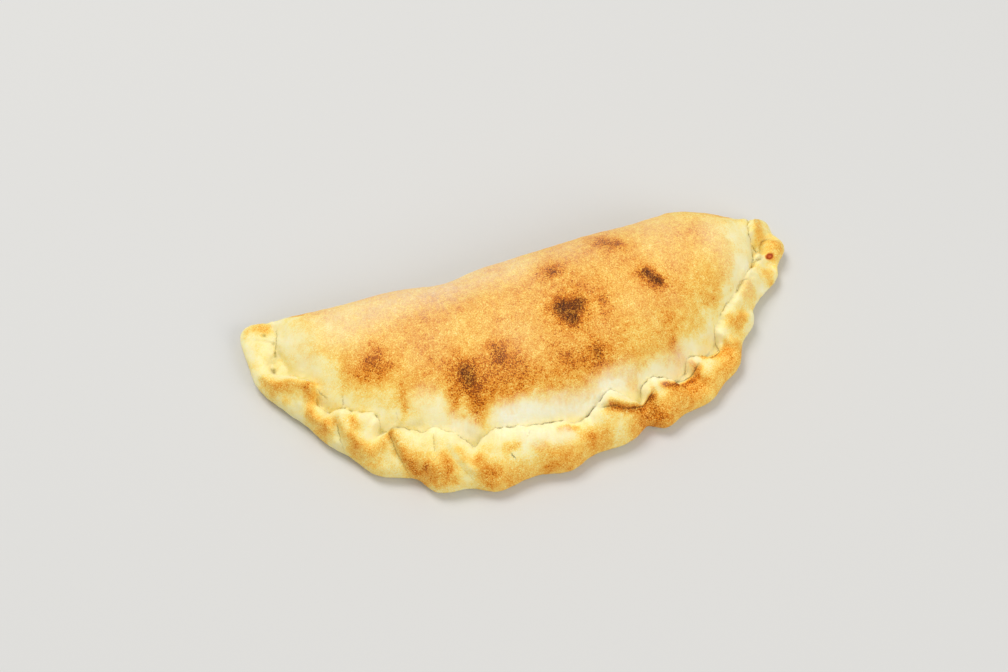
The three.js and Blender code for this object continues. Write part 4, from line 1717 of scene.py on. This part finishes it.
@dataclass(frozen=True)
class CrustFinish:
    """Baked dough, from floury white through golden to scorched.

    Attributes:
        toast_colours: Colours by how baked the dough is.
        raw_noise: How much each noise unsettles that on all dough.
        browned_noise: How much more it does where the dough is fully baked.
        scorch_strength: How strongly a scorch burns.
        scorch_noise: How much each noise unsettles that.
        scorch_bake: How baked the dough looks under a scorch.
        char_colour: The darkest of a scorch.
        char_range: How strong a scorch is where that sets in, and where it would be full.
        flour_colour: Raw flour on the crust.
        flour_strength: How well a full dusting covers.
        flour_noise: How much each noise unsettles that.
        crease_shade_colour: Painted shade deep in a crease in pale dough.
        crust_crease_shade_colour: The same in browned dough, where the crust is also browner.
        crease_bakes: Between these bakes the first turns into the second.
        crease_width: Half-width of a crease's painted shade line, in mm.
        crease_core: The share of it that is darkest.
        crease_waver: How far crumbs push the line to the side, in mm.
        crease_breaks: How much crumbs break it up.
        crease_strength: How strong it is between them.
        crease_most: The darkest that it gets, where 1 hides the dough.
        pit_shade_colour: Painted shade deep in a pit.
        pit_most: The darkest that it gets.
        sauce_and_highlight_colours: Baked-on sauce from its rim to its middle, whose lighter middle is a
            painted highlight.
        sauce_fleck: How much flecks unsettle those.
        sauce_rim: Between these thicknesses the sauce sets in.
        roughness: Of plain crust.
        roughness_flour: What flour adds to it.
        roughness_scorch: What a scorch adds.
        roughness_fleck: What flecks add.
        roughness_sauce: What sauce adds where it is thick.
        sauce_thick: Between these thicknesses that sets in.
        roughness_range: Its lowest and highest.
        bump_height: How deep the surface's grain is, in mm.
        bump_noise: How high each noise stands, in shares of that.
        bump_crease: How deep the line of a crease is, in shares of that.
        glow: How much light passes into the dough.
        glow_depth: How deep it passes, in mm.
        glow_colours: How far red, green and blue pass, in shares of that.
        sheen: How strongly it mirrors.
    """

    toast_colours: tuple[tuple[float, str], ...] = (
        (0.00, "fcf3c4"),
        (0.18, "fdea9c"),
        (0.34, "fcd46a"),
        (0.50, "f4ba52"),
        (0.64, "ea9f36"),
        (0.76, "e38618"),
        (0.88, "c4660c"),
        (1.00, "8c4408"),
    )
    raw_noise: Strengths = ((Noise.GRAIN, 0.06), (Noise.MOTTLE, 0.08), (Noise.CLOUD, 0.32))
    browned_noise: Strengths = ((Noise.GRAIN, 1.9), (Noise.FLECK, 1.0), (Noise.MOTTLE, 0.9))
    scorch_strength: float = 1.1
    scorch_noise: Strengths = ((Noise.GRAIN, 1.0), (Noise.FLECK, 0.8))
    scorch_bake: float = 0.95
    char_colour: str = "44220a"
    char_range: Span = (0.5, 1.4)
    flour_colour: str = "fdf8dc"
    flour_strength: float = 0.9
    flour_noise: Strengths = ((Noise.MOTTLE, 0.8), (Noise.STREAK, 0.9), (Noise.GRAIN, 0.6))
    # Painted shade in creases: olive in pale dough, dark brown where the crust is browned.
    crease_shade_colour: str = "9c8842"
    crust_crease_shade_colour: str = "643010"
    crease_bakes: Span = (0.2, 0.5)
    crease_width: float = 0.5
    crease_core: float = 0.1
    crease_waver: float = 1.6
    crease_breaks: float = 5.0
    crease_strength: float = 0.9
    crease_most: float = 0.75
    pit_shade_colour: str = "8e7a1e"
    pit_most: float = 0.9
    # Sauce colours, dark red ring to orange; the lighter middle is a painted highlight.
    sauce_and_highlight_colours: tuple[tuple[float, str], ...] = (
        (0.10, "f0b050"),
        (0.30, "e08a30"),
        (0.50, "9e3208"),
        (0.72, "c0500f"),
        (0.90, "d87030"),
    )
    sauce_fleck: float = 0.3
    sauce_rim: Span = (0.08, 0.35)
    roughness: float = 0.6
    roughness_flour: float = 0.2
    roughness_scorch: float = -0.08
    roughness_fleck: float = 0.25
    roughness_sauce: float = -0.4
    sauce_thick: Span = (0.3, 0.7)
    roughness_range: Span = (0.15, 1.0)
    bump_height: float = 0.16
    bump_noise: Strengths = ((Noise.GRAIN, 0.6), (Noise.FLECK, 0.7), (Noise.MOTTLE, 0.9))
    bump_crease: float = 2.0
    glow: float = 0.12
    glow_depth: float = 2.5
    glow_colours: tuple[float, float, float] = (1.0, 0.6, 0.3)
    sheen: float = 0.12

    def material(self) -> bpy.types.Material:
        """Builds the material."""
        return CrustLayers(Bench("baked_crust"), self).material()


class CrustLayers:
    """The layers of the crust, from the baked dough up."""

    def __init__(self, bench: Bench, look: CrustFinish) -> None:
        """Reads the coats and makes the noises.

        Args:
            bench: Where the nodes go.
            look: The finish.
        """
        self.bench = bench
        self.look = look
        place = bench.node("ShaderNodeTexCoord", output="Object")
        self.noise = {noise: bench.noise(place, noise.value) for noise in Noise}
        self.coat = {coat: bench.coat(coat) for coat in Coat}
        self.line = self._line() * self.coat[Coat.CREASE_SHADE]

    def material(self) -> bpy.types.Material:
        """Lays one layer over the other and builds the material."""
        look = self.look
        distance = look.bump_height * MILLIMETRE
        bump = {"Height": self._height(), "Distance": distance, "Strength": 1.0}
        return self.bench.finish(
            {
                "Base Color": self._sauced(self._creased(self._floured(self._baked()))),
                "Roughness": self._roughness(),
                "Normal": self.bench.node("ShaderNodeBump", {}, bump),
                "Subsurface Weight": look.glow,
                "Subsurface Scale": look.glow_depth * MILLIMETRE,
                "Subsurface Radius": look.glow_colours,
                "Specular IOR Level": look.sheen,
            }
        )

    def _noises(self, strengths: Strengths) -> Varying:
        """Several noises added up by their strengths."""
        return sum(self.noise[noise] * strength for noise, strength in strengths)

    def _line(self) -> Varying:
        """1 on the line of a crease, which wavers, and 0 off it: where its painted shade and its groove go.
        """
        side = self.coat[Coat.CREASE_SIDE] + self.noise[Noise.CRUMB] * self.look.crease_waver
        return 1 - abs(side).rise(self.look.crease_width * self.look.crease_core, self.look.crease_width)

    def _baked(self) -> Varying:
        """The colour of the dough, from raw to charred."""
        look, bake = self.look, self.coat[Coat.BAKE]
        burnt = self.coat[Coat.SCORCH] * (self._noises(look.scorch_noise) + look.scorch_strength)
        toast = bake + bake * self._noises(look.browned_noise) + self._noises(look.raw_noise)
        toast = toast + burnt.within() * (look.scorch_bake - bake)
        colour = self.bench.ramp(look.toast_colours, toast.within())
        return self.bench.mix(colour, linear(look.char_colour), burnt.rise(*look.char_range))

    def _floured(self, colour: Varying) -> Varying:
        """A colour under the flour."""
        powder = self.coat[Coat.FLOUR] * (self._noises(self.look.flour_noise) + self.look.flour_strength)
        return self.bench.mix(colour, linear(self.look.flour_colour), powder.within())

    def _creased(self, colour: Varying) -> Varying:
        """A colour with painted shade along the creases and in the pits."""
        look, crumb = self.look, self.noise[Noise.CRUMB]
        baked = self.coat[Coat.BAKE].rise(*look.crease_bakes)
        # Painted shade along the creases, olive in pale dough and dark brown where it is baked.
        painted_shade = self.bench.mix(linear(look.crease_shade_colour), linear(look.crust_crease_shade_colour), baked)
        broken = (crumb * look.crease_breaks + look.crease_strength).within()
        colour = self.bench.mix(colour, painted_shade, (self.line * broken).within(0, look.crease_most))
        # Painted olive shade in the pits.
        pit = (self.coat[Coat.PIT_SHADE] * (crumb + 1)).within(0, look.pit_most)
        return self.bench.mix(colour, linear(look.pit_shade_colour), pit)

    def _sauced(self, colour: Varying) -> Varying:
        """A colour with the sauce on it, and a painted highlight in its middle."""
        sauce = self.coat[Coat.SAUCE]
        flecked = sauce + self.noise[Noise.FLECK] * self.look.sauce_fleck
        drop = self.bench.ramp(self.look.sauce_and_highlight_colours, flecked)
        return self.bench.mix(colour, drop, sauce.rise(*self.look.sauce_rim))

    def _roughness(self) -> Varying:
        """How rough the crust is."""
        look, coat = self.look, self.coat
        roughness = look.roughness + coat[Coat.FLOUR] * look.roughness_flour
        roughness = roughness + coat[Coat.SCORCH] * look.roughness_scorch
        roughness = roughness + self.noise[Noise.FLECK] * look.roughness_fleck
        roughness = roughness + coat[Coat.SAUCE].rise(*look.sauce_thick) * look.roughness_sauce
        return roughness.within(*look.roughness_range)

    def _height(self) -> Varying:
        """How high the surface's grain stands."""
        return self._noises(self.look.bump_noise) - self.line * self.look.bump_crease


@dataclass(frozen=True)
class FloorFinish:
    """Plain pale studio paper.

    Attributes:
        colour: Its colour.
        roughness: How rough it is.
        sheen: How strongly it mirrors.
    """

    colour: str = "d9d8d5"
    roughness: float = 0.9
    sheen: float = 0.1

    def material(self) -> bpy.types.Material:
        """Builds the material."""
        return Bench("studio_paper").finish(
            {
                "Base Color": linear(self.colour),
                "Roughness": self.roughness,
                "Specular IOR Level": self.sheen,
            }
        )


# ---- Studio ------------------------------------------------------------------


@dataclass(frozen=True)
class Softbox:
    """A square area light that looks at the calzone.

    Attributes:
        name: Name of the light.
        place: Where it hangs, in metres.
        size: Length of its side, in metres.
        power: In watts.
        colour: Its tint.
    """

    name: str
    place: tuple[float, float, float]
    size: float
    power: float
    colour: tuple[float, float, float] = (1.0, 1.0, 1.0)

    def hang(self) -> None:
        """Makes the light."""
        lamp = bpy.data.lights.new(self.name, "AREA")
        lamp.size = self.size
        lamp.energy = self.power
        lamp.color = self.colour
        light = bpy.data.objects.new(self.name, lamp)
        light.location = self.place
        light.rotation_euler = (-Vector(self.place)).to_track_quat("-Z", "Y").to_euler()
        bpy.context.scene.collection.objects.link(light)


@dataclass(frozen=True)
class Studio:
    """Floor, light and camera.

    Attributes:
        floor_size: Length of the floor's side, in metres.
        floor_drop: How far the floor lies under the frame's zero, so that it never meets the base.
        camera_azimuth: Where the camera stands, in degrees from straight in front, negative to the left.
        camera_elevation: How far above the horizon it stands.
        camera_distance: How far from the target, in metres.
        camera_target: What it looks at, in metres.
        lens: Focal length on a sensor 36 mm wide.
        softboxes: The lights.
        ambient: Brightness of the pale surroundings.
    """

    floor_size: float = 8.0
    floor_drop: float = 0.0001
    camera_azimuth: float = -13.75
    camera_elevation: float = 60.0
    camera_distance: float = 1.0
    camera_target: tuple[float, float, float] = (-0.0116, 0.0249, 0.0)
    lens: float = 70.0
    softboxes: tuple[Softbox, ...] = (
        Softbox("key_light", (-0.6, 1.0, 2.4), 1.1, 35.0),
        Softbox("fill_light", (1.5, -1.7, 1.6), 1.4, 22.0),
    )
    ambient: float = 0.5

    def build(self) -> bpy.types.Object:
        """Makes floor, surroundings, lights and camera.

        Returns:
            The floor.
        """
        half = self.floor_size / 2
        corners = [(-half, -half), (half, -half), (half, half), (-half, half)]
        mesh = bpy.data.meshes.new("studio_floor")
        mesh.from_pydata([(x, y, -self.floor_drop) for x, y in corners], [], [(0, 1, 2, 3)])
        mesh.materials.append(FloorFinish().material())
        floor = bpy.data.objects.new("studio_floor", mesh)
        bpy.context.scene.collection.objects.link(floor)

        world = bpy.data.worlds.new("studio_world")
        world.use_nodes = True
        background = world.node_tree.nodes["Background"]
        background.inputs["Color"].default_value = (1.0, 1.0, 1.0, 1.0)
        background.inputs["Strength"].default_value = self.ambient
        bpy.context.scene.world = world
        bpy.context.scene.view_settings.view_transform = "Standard"

        for softbox in self.softboxes:
            softbox.hang()
        self._camera()
        return floor

    def _camera(self) -> None:
        """Makes the camera and looks through it."""
        azimuth, elevation = math.radians(self.camera_azimuth), math.radians(self.camera_elevation)
        back = Vector(
            (
                math.sin(azimuth) * math.cos(elevation),
                -math.cos(azimuth) * math.cos(elevation),
                math.sin(elevation),
            )
        )
        data = bpy.data.cameras.new("camera")
        data.lens = self.lens
        camera = bpy.data.objects.new("camera", data)
        camera.location = Vector(self.camera_target) + back * self.camera_distance
        camera.rotation_mode = "QUATERNION"
        camera.rotation_quaternion = (-back).to_track_quat("-Z", "Y")
        bpy.context.scene.collection.objects.link(camera)
        bpy.context.scene.camera = camera


# ---- The scene ---------------------------------------------------------------


def main() -> None:
    logging.basicConfig(level=logging.INFO, format="%(name)s: %(message)s")
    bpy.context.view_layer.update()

    skin = Calzone().build(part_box(NODE))
    skin.data.materials.append(CrustFinish().material())
    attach(skin, BODY)
    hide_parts(NODE)
    log.info("%s: %d points, %d faces", skin.name, len(skin.data.vertices), len(skin.data.polygons))

    floor = Studio().build()
    log.info("%s: %.1f m square", floor.name, floor.dimensions.x)


if __name__ == "__main__":
    main()
